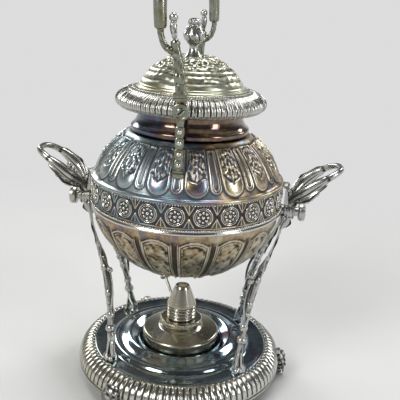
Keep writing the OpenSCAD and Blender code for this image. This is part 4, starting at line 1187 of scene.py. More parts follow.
def make_straps():
    """The straps that carry the bail, their studs and screws, the lugs and the hinge."""
    strap, studs = Shape(), Shape()
    levels = [strap_level(z) for z in np.arange(225.2, 280.01, 0.5)]
    ring = soften([[5.0, 0], [6.7, 0], [6.7, 0.35], [6.3, 0.5], [5.4, 0.5], [5.0, 0.3]], 0.12, 1.0)
    eye = [[0, 0], [6.6, 0], [EYE_R, 0.5], [EYE_R, 2.3], [6.6, 2.75], [0, 2.75]]
    for turn in (0, 180):
        place = turn_matrix("Z", turn)
        bar(strap, levels, 28, place, 0.55)
        disc(strap, eye, place @ facing((0, 2.79 - STRAP_Y, BAIL_Z), FORWARD))
        strap.turned(ring, 40, None, None, place @ facing((0, -STRAP_Y - 0.01, BAIL_Z), FORWARD))
        for k in range(STUDS):
            spot = (0, 0.1 - STRAP_Y, BAIL_Z - STUD_DOWN - STUD_PITCH * k)
            studs.ball(spot, 2.3, (1, 0.85, 1), 12, 22, place)
    both = ("bail_strap_front", "bail_strap_back")
    strap.build("bail_straps_linked", "kettle", "silver_plate", "bail", both, 40)
    studs.build("strap_studs_domed", "kettle", "silver_plate", "plate", ("strap_studs",), 40)
    make_screws()
    for node in ("trunnion_lug_left", "trunnion_lug_right", "spout_strainer", "neck_hinge_leaf",
                 "lid_hinge_pin"):
        smoothed(node, "kettle", "cast", 0.15)


def screw_slot(a, s, r, z):
    """The slot across a screw's domed head."""
    across = np.abs(r * np.sin(a) + r * np.cos(a)) / math.sqrt(2)
    slot = -0.9 * ease(0.75 - across, 0, 0.2) * (z > 0.3)
    # The same depth is given again as painted shade, darkening the slot.
    return slot, slot


def make_screws():
    """The two slotted screws that the bail turns on, each with its riveted end."""
    screws = Shape()
    dome = [[AXIS_R, 1.7], [1.3, 1.66], [2.4, 1.48], [3.2, 1.12], [3.65, 0.6], [3.7, 0.0]]
    head = even(dome, 0.22)
    shank = [[AXIS_R, -0.1], [2.0, -0.1], [2.0, -6.25], [2.9, -6.25], [2.9, -7.2], [2.6, -7.35],
             [AXIS_R, -7.35]]
    for turn in (0, 180):
        place = turn_matrix("Z", turn) @ facing((0, -STRAP_Y - 0.05, BAIL_Z), FORWARD)
        screws.turned(np.vstack([head, [[AXIS_R, 0.0]]]), 72, screw_slot, len(head), place)
        screws.turned(shank, 32, None, None, place)
    screws.build("bail_screws_slotted", "kettle", "silver_plate", "bail", ("bail_screws",), 40)


# Bail


def bail_place(turn):
    """The place of one side of the bail."""
    return turn_matrix("Y", -3, (0, 0, BAIL_Z)) @ turn_matrix("Z", turn)


def grip_end():
    """Where the grip meets its ring, and the way out along the tube."""
    end = np.array([-3.36, -28.0, BAIL_H - 1.4])
    return end, unit([end[0], end[1], 0.08 * end[1]])


def on_arm(rows):
    """Stations or points in the arm's own plane, from their x, height and half widths."""
    return [[x, -ARM_Y, *rest] for x, *rest in rows]


def bail_arm(arms, place, turn):
    """One moulded arm, from its eye to the knob and the hook that takes the tube."""
    disc(arms, [[0, 0], [6.1, 0], [6.6, 0.4], [6.6, 2.4], [6.1, 2.8], [0, 2.8]],
         place @ facing((0, -75.5, 0), FORWARD))
    bar(arms, [(z, 0, -76.9, 3.6, 1.38) for z in (0, 4, 12)], 20, place)
    steps = [(9.2, 6.2, 3.5), (9.45, 6.5, 3.65), (11.1, 6.5, 3.65), (11.35, 5.9, 3.4),
             (11.5, 5.4, 3.1), (12.9, 5.4, 3.1), (13.1, 5.6, 3.2), (13.3, 6.2, 3.5),
             (14.5, 6.2, 3.5), (14.8, 5.7, 3.2)]
    bar(arms, [(z, 0, -78.95, wide, deep) for z, wide, deep in steps], 28, place)
    stem = [[0, 13.7, 2.2, 4.4], [0, 26, 1.9, 4.2], [-.5, 33, 2, 4], [-1.8, 42, 2.5, 3.7],
            [-3.0, 48, 3, 3.6], [-3.4, 53, 3, 3.3]]
    arms.limb(on_arm(stem), 8, 20, ACROSS, bark(1.3 + turn, 3, 0.15), place)
    arms.ball((-3.4, -ARM_Y, 53.2), 3.9, (1, 0.9, 1), 12, 20, place)
    arms.ball((-2.2, -ARM_Y, 27), 3.9, (0.9, 0.75, 1.25), 12, 20, place)
    ring = [[0, 20.4, 2.1, 4.3], [0, 20.9, 2.5, 4.7], [0, 21.6, 2.5, 4.7], [0, 22.1, 2.1, 4.3]]
    arms.limb(on_arm(ring), 3, 20, ACROSS, None, place)
    hook = [[-2.6, 46.4, 2.2, 2.4], [-7.6, 47.8, 2.5, 2.7], [-11.6, 51.6, 2.5, 2.7],
            [-13.8, 56.6, 2.4, 2.5], [-TUBE_SIDE, 61, 2.4, 2.5], [-TUBE_SIDE, 63.85, 2.7, 2.7]]
    arms.limb(on_arm(hook), 8, 20, ACROSS, bark(2.1 + turn, 2, 0.15), place)
    arms.ball((-8.6, -ARM_Y, 49.0), 3.3, (1.1, 0.9, 0.8), 9, 16, place)


def bail_bud(buds, place):
    """The bud that stands on one arm, with two leaves and a round tip."""
    stem = [[-3.5, 55.4, 0.9, 1.0], [-4.2, 59.5, 2.1, 2.3], [-4.7, 64, 2.7, 2.8],
            [-4.8, 67.5, 2.5, 2.6], [-4.6, 70.4, 2.0, 2.0]]
    buds.limb(on_arm(stem), 8, 24, ACROSS, leafy(0.4, 2, 0.25), place)
    for lean, tip in ((1, 2.9), (-1, 2.2)):
        buds.leaf([(-3.8, -ARM_Y - 1.2 * lean, 57), (-4.6, -ARM_Y - 2.9 * lean, 61),
                   (-4.8, -ARM_Y - 3.1 * lean, 65), (-4.6, -ARM_Y - tip * lean, 69)],
                  ACROSS, 2.4, 2, 0.15, 0.6, 20, 9, 0.6, place)
    buds.ball((-4.5, -ARM_Y, 72.8), 3.6, (1, 1, 1), 12, 20, place)
    buds.ball((-4.5, -ARM_Y, 69.4), 2.7, (1, 1, 0.35), 6, 14, place)


def bail_tube(tubes, place, last, out):
    """One smooth tube, from its cup on the arm to the ring at the grip."""
    path = [[-TUBE_SIDE, -ARM_Y, 64, 2.7], [-TUBE_SIDE, -ARM_Y, 64.9, 4.1],
            [-TUBE_SIDE, -ARM_Y, 67.5, 5], [-TUBE_SIDE, -ARM_Y + .4, 84, 0.83 * TUBE_R],
            [-0.96 * TUBE_SIDE, -76, 98.28, 0.88 * TUBE_R],
            [-0.84 * TUBE_SIDE, -68, 109.62, TUBE_R], [-0.63 * TUBE_SIDE, -55, 118.44, TUBE_R],
            [*(last + 10 * out), TUBE_R], [*(last + 4 * out), TUBE_R], [*last, TUBE_R]]
    tubes.limb(path, 8, 32, ACROSS, None, place)


def grip_flutes(t, angle):
    """The grip's winding flutes, which stop short of its ends."""
    reach = ease(0.42 - np.abs(t - 0.5), 0.0, 0.05)
    return -0.45 * reach * np.abs(np.cos(8 * angle + 5 * np.sin(FULL * t))) ** 3


def make_bail():
    """The bail: two moulded arms with leaf buds, two smooth tubes, rings and grip."""
    arms, buds, tubes, rings, grip = Shape(), Shape(), Shape(), Shape(), Shape()
    end, out = grip_end()
    for turn in (0, 180):
        place = bail_place(turn)
        bail_arm(arms, place, turn)
        bail_bud(buds, place)
        bail_tube(tubes, place, end + out * 2.1, out)
        a, b = end + out * 0.05, end + out * 2.05
        rim = [a, a + out * 0.3, b - out * 0.3, b]
        rings.tube(rim, [6.7, 7.3, 7.3, 6.7], 40, ACROSS, None, place)
    far, back = end * (-1, -1, 1), out * (-1, -1, 1)
    middle = [[*end, 6.7], [*(end - 4 * out), 7.1], [.4 * end[0], .4 * end[1], BAIL_H - .3, 8.3],
              [0, 0, BAIL_H, 8.6], [-.4 * end[0], -.4 * end[1], BAIL_H - .3, 8.3],
              [*(far - 4 * back), 7.1], [*far, 6.7]]
    grip.limb(middle, 10, 48, ACROSS, grip_flutes, bail_place(0))
    for shape, name, slot, finish, nodes, sharp in (
            (arms, "arms_moulded", "silver_plate", "bail", ("arm_front", "arm_back"), 40),
            (buds, "buds_leafed", "silver_plate", "cast", ("bud_front", "bud_back"), None),
            (tubes, "tubes_smooth", "silver_plate", "bail", ("tube_front", "tube_back"), None),
            (rings, "rings_bone", "ring_ivory", "ivory", ("rings",), 50),
            (grip, "grip_fluted", "silver_plate", "bail", ("grip",), 60)):
        replaced = ["bail_" + node for node in nodes]
        shape.build("bail_" + name, "bail", slot, finish, replaced, sharp)


# Lid


def make_dome():
    """The lid's embossed dome, a shell with its own inside."""
    top = [[7, 0], [10, 2.6], [13.5, 4.3], [18, 4.2], [24, 2], [29, -1], [34, -4], [38.5, -7.4],
           [43, -13], [46.5, -18]]
    crown = even(spline(top, 12), 0.8)
    edge = soften([[46.5, -18], [47.1, -19.6], [47.9, -20.2], [48.5, -21.6], [49.9, -22.2],
                   [DOME_R, -23.1]], 0.4, 0.8, False)[1:]
    outer = np.vstack([crown, edge])
    inner = [[r - 0.7, max(h - 1.3, -23.2)] for r, h in top[::-1]]
    outline = np.vstack([[[2.6, 0]], outer, [[49.8, -23.2], [47.4, -21.0]], inner, [[2.6, -1.3]]])
    dome = Shape()
    dome.turned(outline + (0, DISH_Z), 864, dome_relief, 1 + len(outer))
    dome.build("lid_dome_embossed", "lid", "silver_warm", "lid", ("lid_dome",))


def make_brim():
    """The lid's tongued brim, and the rope round the dome's foot."""
    above = [[46.5, 1], [52.3, 1], [53.1, .2], [56.6, -.8], [62.6, -3], [66.6, -6.2],
             [BRIM_R, -9.6], [68.2, -12.4], [66.6, -14.6], [65.2, -16.6]]
    below = [[63.2, -16.6], [65.2, -13.6], [66.7, -11.6], [67, -9.8], [65.4, -7.4], [62, -4.6],
             [56.2, -2.4], [52.3, -1.2], [46.5, -.6]]
    over = even(soften(above, 1.3, 1.6, False), 0.9)
    under = soften(below, 1.3, 3.0, False)
    around = sizes().brim_lobes * POINTS_PER_LOBE
    brim = Shape()
    brim.turned(np.vstack([over, under]) + (0, BRIM_Z), around, brim_relief, len(over))
    brim.build("lid_brim_tongued", "lid", "silver_warm", "brim", ("lid_brim",))

    bead = Shape()
    bead.tube([[-0.9, -54.0, BRIM_Z + 0.55], [0, -54.1, BRIM_Z + 0.45], [0.9, -54.0, BRIM_Z + 0.55]],
              [0.4, 0.75, 0.4], 6, UP)
    repeated(bead, "lid_brim_rope", "lid", "brim", ROPE_TURNS)


def make_finial():
    """The finial: a foot, a slim neck, a bulb and a knot, with its screw below."""
    outline = [[.05, 0], [6.8, 0], [7.6, 1.3], [8.2, 2.8], [7.9, 4.2], [6, 7], [4.4, 10],
               [3.9, 12.5], [4.6, 15]]
    bulb = [[0.83, 18.5], [0.96, 20.6], [1, 22.4], [0.97, 24.2], [0.87, 26.2], [0.68, 29.5],
            [0.51, 31.5], [0.64, 33.4], [0.62, 35.8], [0.33, 37.4]]
    outline += [[share * FINIAL_R, z] for share, z in bulb] + [[.05, 38]]
    outline = np.array(outline) * (1, FINIAL_H / 38)
    profile = even(spline(outline[1:], 6), 0.5)
    profile[:, 0] = np.maximum(profile[:, 0], 0.05)
    profile = np.vstack([[[0.05, 0]], profile]) + (0, DISH_Z + 0.05)
    finial = Shape()
    finial.turned(profile, 168, finial_relief)
    screw = np.array([[.05, -8], [2.55, -8], [2.55, 0.5], [.05, 0.5]]) + (0, DISH_Z)
    finial.turned(screw, 24)
    finial.build("lid_finial_bud", "lid", "silver_plate", "cast", ("lid_finial",))


def make_lid():
    """The lid: dome, brim, finial and the parts below."""
    make_dome()
    make_brim()
    make_finial()
    for node in ("lid_bezel", "finial_nut", "lid_hinge_leaf"):
        smoothed(node, "lid", "plate", 0.15)


# Stand


def make_base():
    """The dished tray, the gadrooned rim round it and the burner's well."""
    top = [[42.95, 33], [49.5, 37.9], [51.5, 38.6], [53.5, 37.9], [58.5, 35.3], [62.9, 34.1],
           [65.3, 34.6], [67.7, 33.7], [70.3, 31.1], [73.3, TRAY_Z], [80.9, TRAY_Z], [84.5, 31],
           [EDGE_R, 31.5]]
    line = even(spline(top, 8), 1.0)
    under = (even(line, 4.0) - (0, 1.5))[::-1]
    under[0, 0] = EDGE_R
    tray = Shape()
    tray.turned(np.vstack([line, under]), 360)
    tray.build("tray_dished", "stand", "silver_plate", "tray", ("base_plate",))

    outer = [[86.95, 31.5], [90.9, 31.1], [96, 28.9], [100, 25.1], [102.2, 20.3], [102.7, 15.3]]
    outer = even(spline(outer, 8), 0.85)
    lip = soften([[102.7, 15.3], [101.6, 14.9], [101.5, 13.9], [102.6, 13.2], [102.5, 12.0],
                  [101.4, 9.2], [99.9, 9.0]], 0.4, 1.0, False)
    back = [[99.9, 9.0], [100.0, 12.6], [99.6, 15.3], [98.6, 20.3], [96.0, 23.6], [92.0, 27.0],
            [89.0, 28.7], [86.95, 29.6]]
    outline = np.vstack([outer, lip[1:], soften(back, 0.6, 3.0, False)[1:]])
    rim = Shape()
    rim.turned(outline, sizes().rim_lobes * POINTS_PER_LOBE, rim_relief, len(outer))
    rim.build("rim_gadrooned", "stand", "silver_plate", "rim", ("gadroon_rim",))

    out = 42.9
    outline = [[.05, 12.6], [out, 12.6], [out, 31.5], [out, 33], [out - .4, 33.6], [41.5, 33],
               [41.5, 14], [.05, 14]]
    well = Shape()
    well.turned(soften(outline, 0.4, 4.0, False), 240)
    well.build("burner_well_turned", "stand", "silver_plate", "tray", ("burner_well",))
    smoothed("leg_studs", "stand", "cast", 0.15)


def make_feet():
    """The three cast leaf feet under the rim."""
    for name, turn in (("right", 0), ("back", 120), ("front", 240)):
        foot = Shape()
        place = turn_matrix("Z", turn)
        stations = [[101, 0, 26.3, 3, 5], [104, 0, 21.3, 4.2, 7], [105.6, 0, 14.3, 4, 7],
                    [105, 0, 7.3, 3, 4.6], [105.8, 0, 3.4, 3, 4]]
        foot.limb(stations, 8, 32, BACK, leafy(1.1, 5, 0.55), place)
        pad = [[0, 0], [4, 0], [4, 2.6], [3.2, 3.6], [0, 3.6]]
        disc(foot, pad, place @ turn_matrix("Z", 0, (105.8, 0, 0)))
        foot.leaf([(102.5, 0, 27), (107.0, 0, 22.5), (109.4, 0, 15), (108.2, 0, 8), (109.3, 0, 3.2)],
                  BACK, 6.6, 5, 0.16, 1.2, 34, 13, 0.8, place)
        for y in (1, -1):
            foot.leaf([(101.5, 4 * y, 24), (105.5, 6 * y, 20), (107.6, 7 * y, 14),
                       (106.5, 6.2 * y, 8.6)], (-0.5 * y, 1, 0), 3.4, 4, 0.2, 1.0, 26, 9, 0.8, place)
        foot.build("rim_foot_leaf_" + name, "stand", "silver_plate", "cast", ("rim_foot_" + name,))


def clear_of_kettle(shape):
    """Keeps the leg outside the space that the tilting kettle and its lugs sweep."""
    centre = np.array([0, 0, PIN_Z])
    for i, p in enumerate(shape.points):
        d = np.linalg.norm(p - centre, axis=1)
        near = d < SWEEP_R
        p[near] = centre + (p[near] - centre) * (SWEEP_R / d[near])[:, None]
        off = np.hypot(p[:, 1], p[:, 2] - PIN_Z)
        inside = (off < 6.7) & (np.abs(p[:, 0]) < BOSS_FACE)
        p[inside, 0] = np.sign(p[inside, 0]) * BOSS_FACE
        shape.points[i] = p


def leg_point(t):
    """The middle of the right back leg, from its boss at 0 to its ankle at 1."""
    return np.array([63.32 + 30.88 * (1 - t) ** 1.5, 6.9 + 37.54 * t, 174 - 114.2 * t])


def leg_branch(leg, seed, place):
    """The branch of one leg down to its ankle, with knots and buds."""
    rows = [[*leg_point(t), 2.9 + (0.5 if t == 0 else 0) + 0.35 * math.sin(math.pi * t)]
            for t in np.linspace(0, 1, 9)]
    rows += [[61.5, 47.9, 46.8, 3.5], [59.9, 49.5, 39.6, 4.1], [59.5, 49.9, 35.2, 5.2],
             [59.5, 49.9, 30.6, 5.9]]
    leg.limb(rows, 7, 20, BACK, bark(seed, 5, 0.3), place)
    for t, r in ((0.12, 3.7), (0.33, 3.9), (0.52, 4.0), (0.72, 3.9), (0.9, 4.0)):
        leg.ball(leg_point(t), r, (1, 1, 1.3), 10, 16, place)
    for t, shift, r in ((0.24, (1.8, -1.8, 0), 1.9), (0.43, (1.2, 2.4, 1), 1.8),
                        (0.62, (2.0, -1.8, 0), 2.0), (0.8, (1.0, 2.4, 1), 1.9)):
        leg.ball(leg_point(t) + shift, r, (1, 1, 1.4), 7, 12, place)
    leg.ball(leg_point(1.0), 5.0, (1, 1, 0.92), 10, 18, place)
    leg.ball(leg_point(1.0) + (1.6, -3.6, 1.0), 2.1, (1, 1, 1), 7, 12, place)


def leg_leaves(leg, place):
    """The leaf, the winding strand and the curl on one leg."""
    a, b, c, d = (leg_point(t) for t in (0.08, 0.2, 0.32, 0.44))
    leg.leaf([a + (2.4, -1, 0), b + (3.4, -1.2, 0), c + (3.2, -1.2, 0), d + (3.6, -1.4, -1)],
             (0, 1, 0.2), 2.8, 3, 0.25, 0.9, 34, 11, 0.8, place)
    a, b, c, d = (leg_point(t) for t in (0.42, 0.54, 0.70, 0.84))
    strand = [a + (-1.0, 2.4, 0), b + (-5.6, 4.4, -1), c + (-4.8, 4.4, 0), d + (-1.2, 2.0, 0)]
    leg.leaf(strand, (0.4, 1, 0), 2.6, 1, 0.3, 1.6, 40, 11, 0.6, place)
    leg.limb([[*p, 1.2] for p in strand], 8, 12, BACK, None, place)
    curl = b + (-5.2, 4.2, 2.0)
    ring = [curl + (2.6 * math.cos(q) * (1 - q / 14), 0, 2.6 * math.sin(q) * (1 - q / 14))
            for q in np.linspace(0.4, 8.2, 30)]
    leg.tube(ring, np.linspace(1.3, 0.8, 30), 10, BACK, None, place)


def leg_paw(leg, place):
    """The paw: three leaves down the ankle and four toes."""
    top, low, foot = (np.array(p) for p in ((61.3, 48.1, 50.0), (59.5, 49.9, 34.0), (59.5, 49.9, 30.4)))
    away = unit([59.5, 49.9, 0.0])
    for turn in (-55, 0, 55):
        q = turn_matrix("Z", turn)[:3, :3] @ away
        leg.leaf([top + q * 2.6, 0.5 * (top + low) + q * 4.9, low + q * 6.6,
                  low + q * 9.2 + (0, 0, -2.6)],
                 np.cross(q, UP), 2.6, 1, 0.35, 1.2, 24, 9, 0.6, place)
    for turn in (-42, -14, 14, 42):
        q = turn_matrix("Z", turn)[:3, :3] @ away
        toe = [[*(foot + q * out + (0, 0, up)), wide]
               for out, up, wide in ((2.0, 4.0, 2.2), (5.2, 4.2, 2.5), (7.6, 2.6, 2.3), (8.9, 1.2, 1.1))]
        leg.limb(toe, 5, 12, (0.1, 0.2, 1), None, place)


def make_legs():
    """The four cast branch legs, with knots, leaves, ankle balls and paws."""
    for side, side_name in ((-1, "left"), (1, "right")):
        for end, end_name in ((-1, "front"), (1, "back")):
            place = side_matrix(side, end)
            leg = Shape()
            leg_branch(leg, 1.0 + 2.2 * side + 0.9 * end, place)
            leg_leaves(leg, place)
            leg_paw(leg, place)
            clear_of_kettle(leg)
            name = "leg_" + end_name + "_" + side_name
            leg.build(name + "_cast", "stand", "silver_plate", "cast", (name,))


def make_brackets():
    """The bosses at the leg tops, their rings and leaf work, and the tilting pins."""
    for side, name in ((-1, "left"), (1, "right")):
        smoothed("bracket_" + name, "stand", "cast", 0.35)
        trim = Shape()
        place = side_matrix(side)

        def leaf(points, across, width, *shape):
            """A leaf whose heights are counted from the pin."""
            trim.leaf([(x, y, PIN_Z + up) for x, y, up in points], across, width, *shape, place)

        for x, r in ((94.5, 7.7), (97.0, 7.3), (99.6, 7.3), (102.6, 7.8)):
            ring = [[3.6, 0], [r - 0.5, 0], [r, 0.5], [r, 1.3], [r - 0.5, 1.8], [3.6, 1.8]]
            along = facing((x - 0.9, 0, PIN_Z), ACROSS)
            trim.turned(soften(ring, 0.3, 2.0), 48, None, None, place @ along)
        for y in (-1, 1):
            leaf([(98.0, 3.4 * y, 5), (100.5, 4.2 * y, 11), (98.8, 4.0 * y, 17), (95.5, 3.6 * y, 22)],
                 (1, 0, 0.4), 4.2, 4, 0.25, 1.0, 28, 9, 0.8)
        leaf([(103.2, 0, 4), (104.6, 0, 9), (102.9, 0, 14), (101.6, 0, 19)],
             BACK, 4.0, 4, 0.25, 1.0, 28, 9, 0.8)
        leaf([(98.4, 0, -6), (100.6, 0, -10), (99.4, 0, -14), (96.6, 0, -17)],
             BACK, 3.4, 2, 0.3, 1.2, 28, 11, 0.7)
        clear_of_kettle(trim)
        trim.build("bracket_trim_" + name, "stand", "silver_plate", "cast")
        smoothed("trunnion_pin_" + name, name + "_pin", "cast", 0.3)


def make_handles():
    """The two loop handles, wrapped in cast leaves."""
    x0, run, z0, rise, half_wide = 98.5, 43.8, 189.5, 34.0, 19.0
    half = [[.02, .22, 0, 2.8, 3.2], [.1, .52, .16, 4.2, 3.8], [.27, .92, .38, 5.8, 4.6],
            [.47, 1, .6, 5.2, 4.4], [.66, .98, .78, 3.6, 3.5], [.85, .8, .92, 3.1, 3.1],
            [.97, .45, .99, 3.0, 3.0], [1, 0, 1, 3.0, 3.0]]

    def spots(y, rows):
        """Places on the loop: shares of its run, of y and of its rise, and what else a row holds."""
        return [(x0 + x * run, across * y, z0 + up * rise, *rest) for x, across, up, *rest in rows]

    def carved(t, angle):
        """Fluted sheaths on both ends of the loop, each closed by a groove."""
        reach = ease(np.abs(t - 0.5), 0.17, 0.22)
        flute = 0.55 * np.abs(np.cos(4 * angle + 3 * t)) ** 0.7 - 0.1
        return reach * flute - 0.5 * ridge(np.abs(t - 0.5) - 0.2, 0.012)

    rows = spots(-half_wide, half) + spots(half_wide, half[-2::-1])
    stations = [(x, y, z, deep * 0.96, wide * 0.96) for x, y, z, wide, deep in rows]
    for side, name in ((-1, "left"), (1, "right")):
        place = side_matrix(side)
        handle = Shape()
        handle.limb(stations, 7, 24, (-rise, 0, run), carved, place)
        for end in (-1, 1):
            y = end * half_wide
            outer = [(.05, .45, 4 / rise), (.2, .9, .36), (.42, 1.08, .64), (.62, 1.04, .86)]
            inner = [(.05, .45, 1 / rise), (.26, 1.0, .2), (.48, 1.16, .44), (.70, 1.06, .66)]
            swell = [(.16, .72, .1, 2.6), (.3, .9, .2, 4.2), (.45, 1, .36, 3.2)]
            handle.leaf(spots(y, outer), (0.5, end * 0.4, -0.6), 5.4, 2, 0.3, 1.3, 44, 15, 0.7, place)
            handle.leaf(spots(y, inner), (0.2, end * 0.9, -0.4), 4.2, 2, 0.3, 1.3, 44, 15, 0.7, place)
            handle.limb(spots(y, swell), 8, 18, BACK, leafy(0.2, 4, 0.4), place)
            handle.ball(spots(y, [(.49, 1, .4)])[0], 3.6, (1, 1, 1), 10, 18, place)
        replaced = ("side_handle_" + name,)
        handle.build("side_handle_leafed_" + name, "stand", "silver_plate", "cast", replaced)


# Burner


def cone_grooves(a, s, r, z):
    """A fine groove between each two ribs of the burner's cone."""
    return -0.45 * ridge((z - RIBS_Z) % RIB_PITCH - 0.02, 0.3) * (z > 55.4) * (z < 70.3)


def wick_plait(a, s, r, z):
    """The crossing strands of the round wick."""
    return -0.12 + 0.1 * np.cos(16 * a + 3 * z) * np.cos(16 * a - 3 * z) * (r > 1)


def make_burner():
    """The spirit burner with its knurled collar, ribbed cone, wick and winder."""
    outline = [[.05, 14.3], [37.5, 14.3], [39, 15.8], [39, 41.8], [37.5, 43.3], [22.7, 46.5],
               [17.7, 49.7], [16.7, 50.45], [12.6, 50.45], [12.6, 48.5], [15.7, 48.1], [20.7, 45.3],
               [36.6, 42.1], [37.8, 41.1], [37.8, 16.3], [37, 15.5], [.05, 15.5]]
    drum = Shape()
    drum.turned(soften(outline, 0.8, 2.5, False), 240)
    drum.build("burner_drum", "burner", "burner_nickel", "nickel", ("burner_reservoir",))

    collar = Shape()
    outline = [[11.6, 50.5], [20.4, 50.5], [21.1, 51.3], [21.1, 54.7], [20.2, 55.45], [11.6, 55.45]]
    collar.turned(soften(outline, 0.4, 1.5), 192)
    collar.build("burner_collar_turned", "burner", "burner_nickel", "nickel", ("burner_collar",))
    knurl = Shape()
    knurl.tube([[0, -20.6, 50.7], [0, -21.15, 51.4], [0, -21.15, 54.5], [0, -20.4, 55.3]],
               [0.3, 0.62, 0.62, 0.3], 6, ACROSS)
    repeated(knurl, "burner_collar_knurl", "burner", "nickel", KNURLS)

    outline = [[4.25, 49.5], [11.4, 49.5], [11.4, RIBS_Z]]
    for z in RIBS_Z + np.arange(4) * RIB_PITCH:
        outline += [[r, z + share * RIB_PITCH]
                    for r, share in ((13.2, 0.06), (14.6, 0.3), (14.6, 0.7), (13.2, 0.94))]
    outline += [[14.6, 70.1], [14.6, 71.1], [8.2, 88.3], [7.0, 90.7], [4.3, 90.7]]
    tube = Shape()
    tube.turned(soften(outline, 0.45, 2.0), 144, cone_grooves)
    tube.build("wick_tube_ribbed", "burner", "burner_nickel", "nickel", ("wick_tube",), 50)

    outline = np.vstack([[[.05, 20.3]], even([[4.15, 20.3], [4.15, 60], [4.15, 88.9]], 1.2),
                         even(spline([[4.15, 88.9], [3.9, 89.8], [2.4, 90.2], [.05, 90.3]], 4), 0.4)])
    wick = Shape()
    wick.turned(outline, 64, wick_plait)
    wick.build("wick_braided", "wick", "wick_cotton", "wick", ("wick",))
    for node, bevel in (("winder_shaft", 0.0), ("winder_pinion", 0.0), ("winder_knob", 0.2)):
        smoothed(node, "winder", "nickel", bevel)


# Stage


def soft_lamp(name, place, width, height, watts, colour):
    """A soft rectangular lamp that looks at the kettle's middle."""
    data = bpy.data.lights.new(name, "AREA")
    data.shape = "RECTANGLE"
    data.size = width
    data.size_y = height
    data.energy = watts
    data.color = colour
    lamp = placed(name, data)
    lamp.location = place
    way = Vector((0, 0, 0.2)) - lamp.location
    lamp.rotation_mode = "QUATERNION"
    lamp.rotation_quaternion = way.to_track_quat("-Z", "Y")


def make_world():
    """A plain studio: pale low down, darker overhead."""
    world = Paint("studio", bpy.data.worlds)
    height = world.axis("Z", "Generated")
    up = world.node("ShaderNodeMapRange", {}, {"Value": height, "From Min": -0.1, "From Max": 1.0})
    greys = ((0.0, BACKDROP), (0.15, BACKDROP), (0.24, 0.34), (0.36, 0.12), (0.7, 0.06), (1.0, 0.05))
    colour = world.ramp(up.outputs[0], [(position, (grey,) * 3) for position, grey in greys])
    light = world.node("ShaderNodeBackground", {}, {"Color": colour, "Strength": 1.0})
    bpy.context.scene.world = world.close(light.outputs[0], "World")


def make_stage():
    """The pale floor, the lamps, the world and the camera."""
    mesh = bpy.data.meshes.new("floor_sheet")
    corners = [(-1, -1), (1, -1), (1, 1), (-1, 1)]
    mesh.from_pydata([(FLOOR_REACH * x, FLOOR_REACH * y, 0) for x, y in corners], [], [(0, 1, 2, 3)])
    mesh.materials.append(plain_floor())
    floor = placed("floor_sheet", mesh)
    floor.location.z = -0.0005
    warm, cool = (1, 0.99, 0.97), (0.97, 0.98, 1)
    soft_lamp("key_left", (-0.9, -1.1, 1.2), 0.55, 0.7, 15.0, warm)
    soft_lamp("fill_right", (1.3, -0.7, 0.9), 0.3, 0.9, 8.0, cool)
    soft_lamp("top", (0.1, 0.3, 1.8), 0.8, 0.8, 14.0, (1, 1, 1))
    soft_lamp("back_left", (-1.0, 1.1, 1.0), 0.35, 0.8, 8.0, cool)
    soft_lamp("back_right", (1.1, 1.2, 1.2), 0.3, 0.7, 7.0, warm)
    make_world()
    data = bpy.data.cameras.new("camera")
    data.lens = LENS
    data.sensor_width = 36.0
    data.clip_start = 0.01
    data.clip_end = 20.0
    camera = placed("camera", data)
    turn = Matrix.Translation(CAMERA_PLACE)
    for degrees, axis in CAMERA_TURNS:
        turn = turn @ Matrix.Rotation(math.radians(degrees), 4, axis)
    camera.matrix_world = turn
    scene = bpy.context.scene
    scene.camera = camera
    scene.view_settings.view_transform = "Standard"


# Add-on


class KettleSizes(bpy.types.PropertyGroup):
    """Sizes and counts that a user would change."""

    panels: IntProperty(name="Panels", description="Wide panels round the kettle",
                        default=16, min=8, max=24)
    rosettes: IntProperty(name="Rosettes", description="Rosettes on the band",
                          default=24, min=12, max=36)
    beads: IntProperty(name="Beads", description="Beads under the band",
                       default=280, min=120, max=320)
    rim_lobes: IntProperty(name="Rim gadroons", description="Gadroons on the base's rim",
                           default=99, min=48, max=120)
    brim_lobes: IntProperty(name="Brim tongues", description="Tongues on the lid's brim",
                            default=84, min=36, max=96)
    chasing: FloatProperty(name="Chasing", description="Height of the chased relief", default=0.001,
                           min=0.0, max=0.002, unit="LENGTH")


def colour(name, description, value):
    """A colour property."""
    return FloatVectorProperty(name=name, description=description, default=value, size=3,
                               subtype="COLOR", min=0.0, max=1.0)


class KettleColours(bpy.types.PropertyGroup):
    """The metal's colours, from clean silver to heavy tarnish."""

    silver: colour("Silver", "Clean silver plate", (0.70, 0.70, 0.67))
    straw: colour("Straw", "The thinnest tarnish", (0.62, 0.59, 0.49))
    gold: colour("Gold", "Thin golden tarnish", (0.50, 0.41, 0.26))
    rose: colour("Rose", "Brown and rose tarnish", (0.36, 0.27, 0.22))
    violet: colour("Violet", "Violet tarnish", (0.27, 0.23, 0.32))
    blue: colour("Blue", "Blue tarnish", (0.25, 0.36, 0.45))
    steel: colour("Steel", "Thick blue-grey tarnish", (0.38, 0.44, 0.46))
    # The oxide colour is also painted as shade in hollows, grooves, gaps and slots.
    oxide_and_shade: colour("Oxide", "The dark in the hollows", (0.035, 0.032, 0.03))
    nickel: colour("Nickel", "The burner's nickel", (0.50, 0.50, 0.46))


class KETTLE_OT_finishes(bpy.types.Operator):
    """Makes the finishes"""

    bl_idname = "kettle.finishes"
    bl_label = "Finishes"

    def execute(self, context):
        FINISH.update(make_finishes(context.scene.kettle_colours))
        return {"FINISHED"}


class KETTLE_OT_stage(bpy.types.Operator):
    """Makes the floor, the lamps, the world and the camera"""

    bl_idname = "kettle.stage"
    bl_label = "Stage"

    def execute(self, context):
        make_stage()
        return {"FINISHED"}


class KETTLE_OT_bowl(bpy.types.Operator):
    """Makes the chased bowl and the disc under it"""

    bl_idname = "kettle.bowl"
    bl_label = "Bowl"

    def execute(self, context):
        make_bowl()
        return {"FINISHED"}


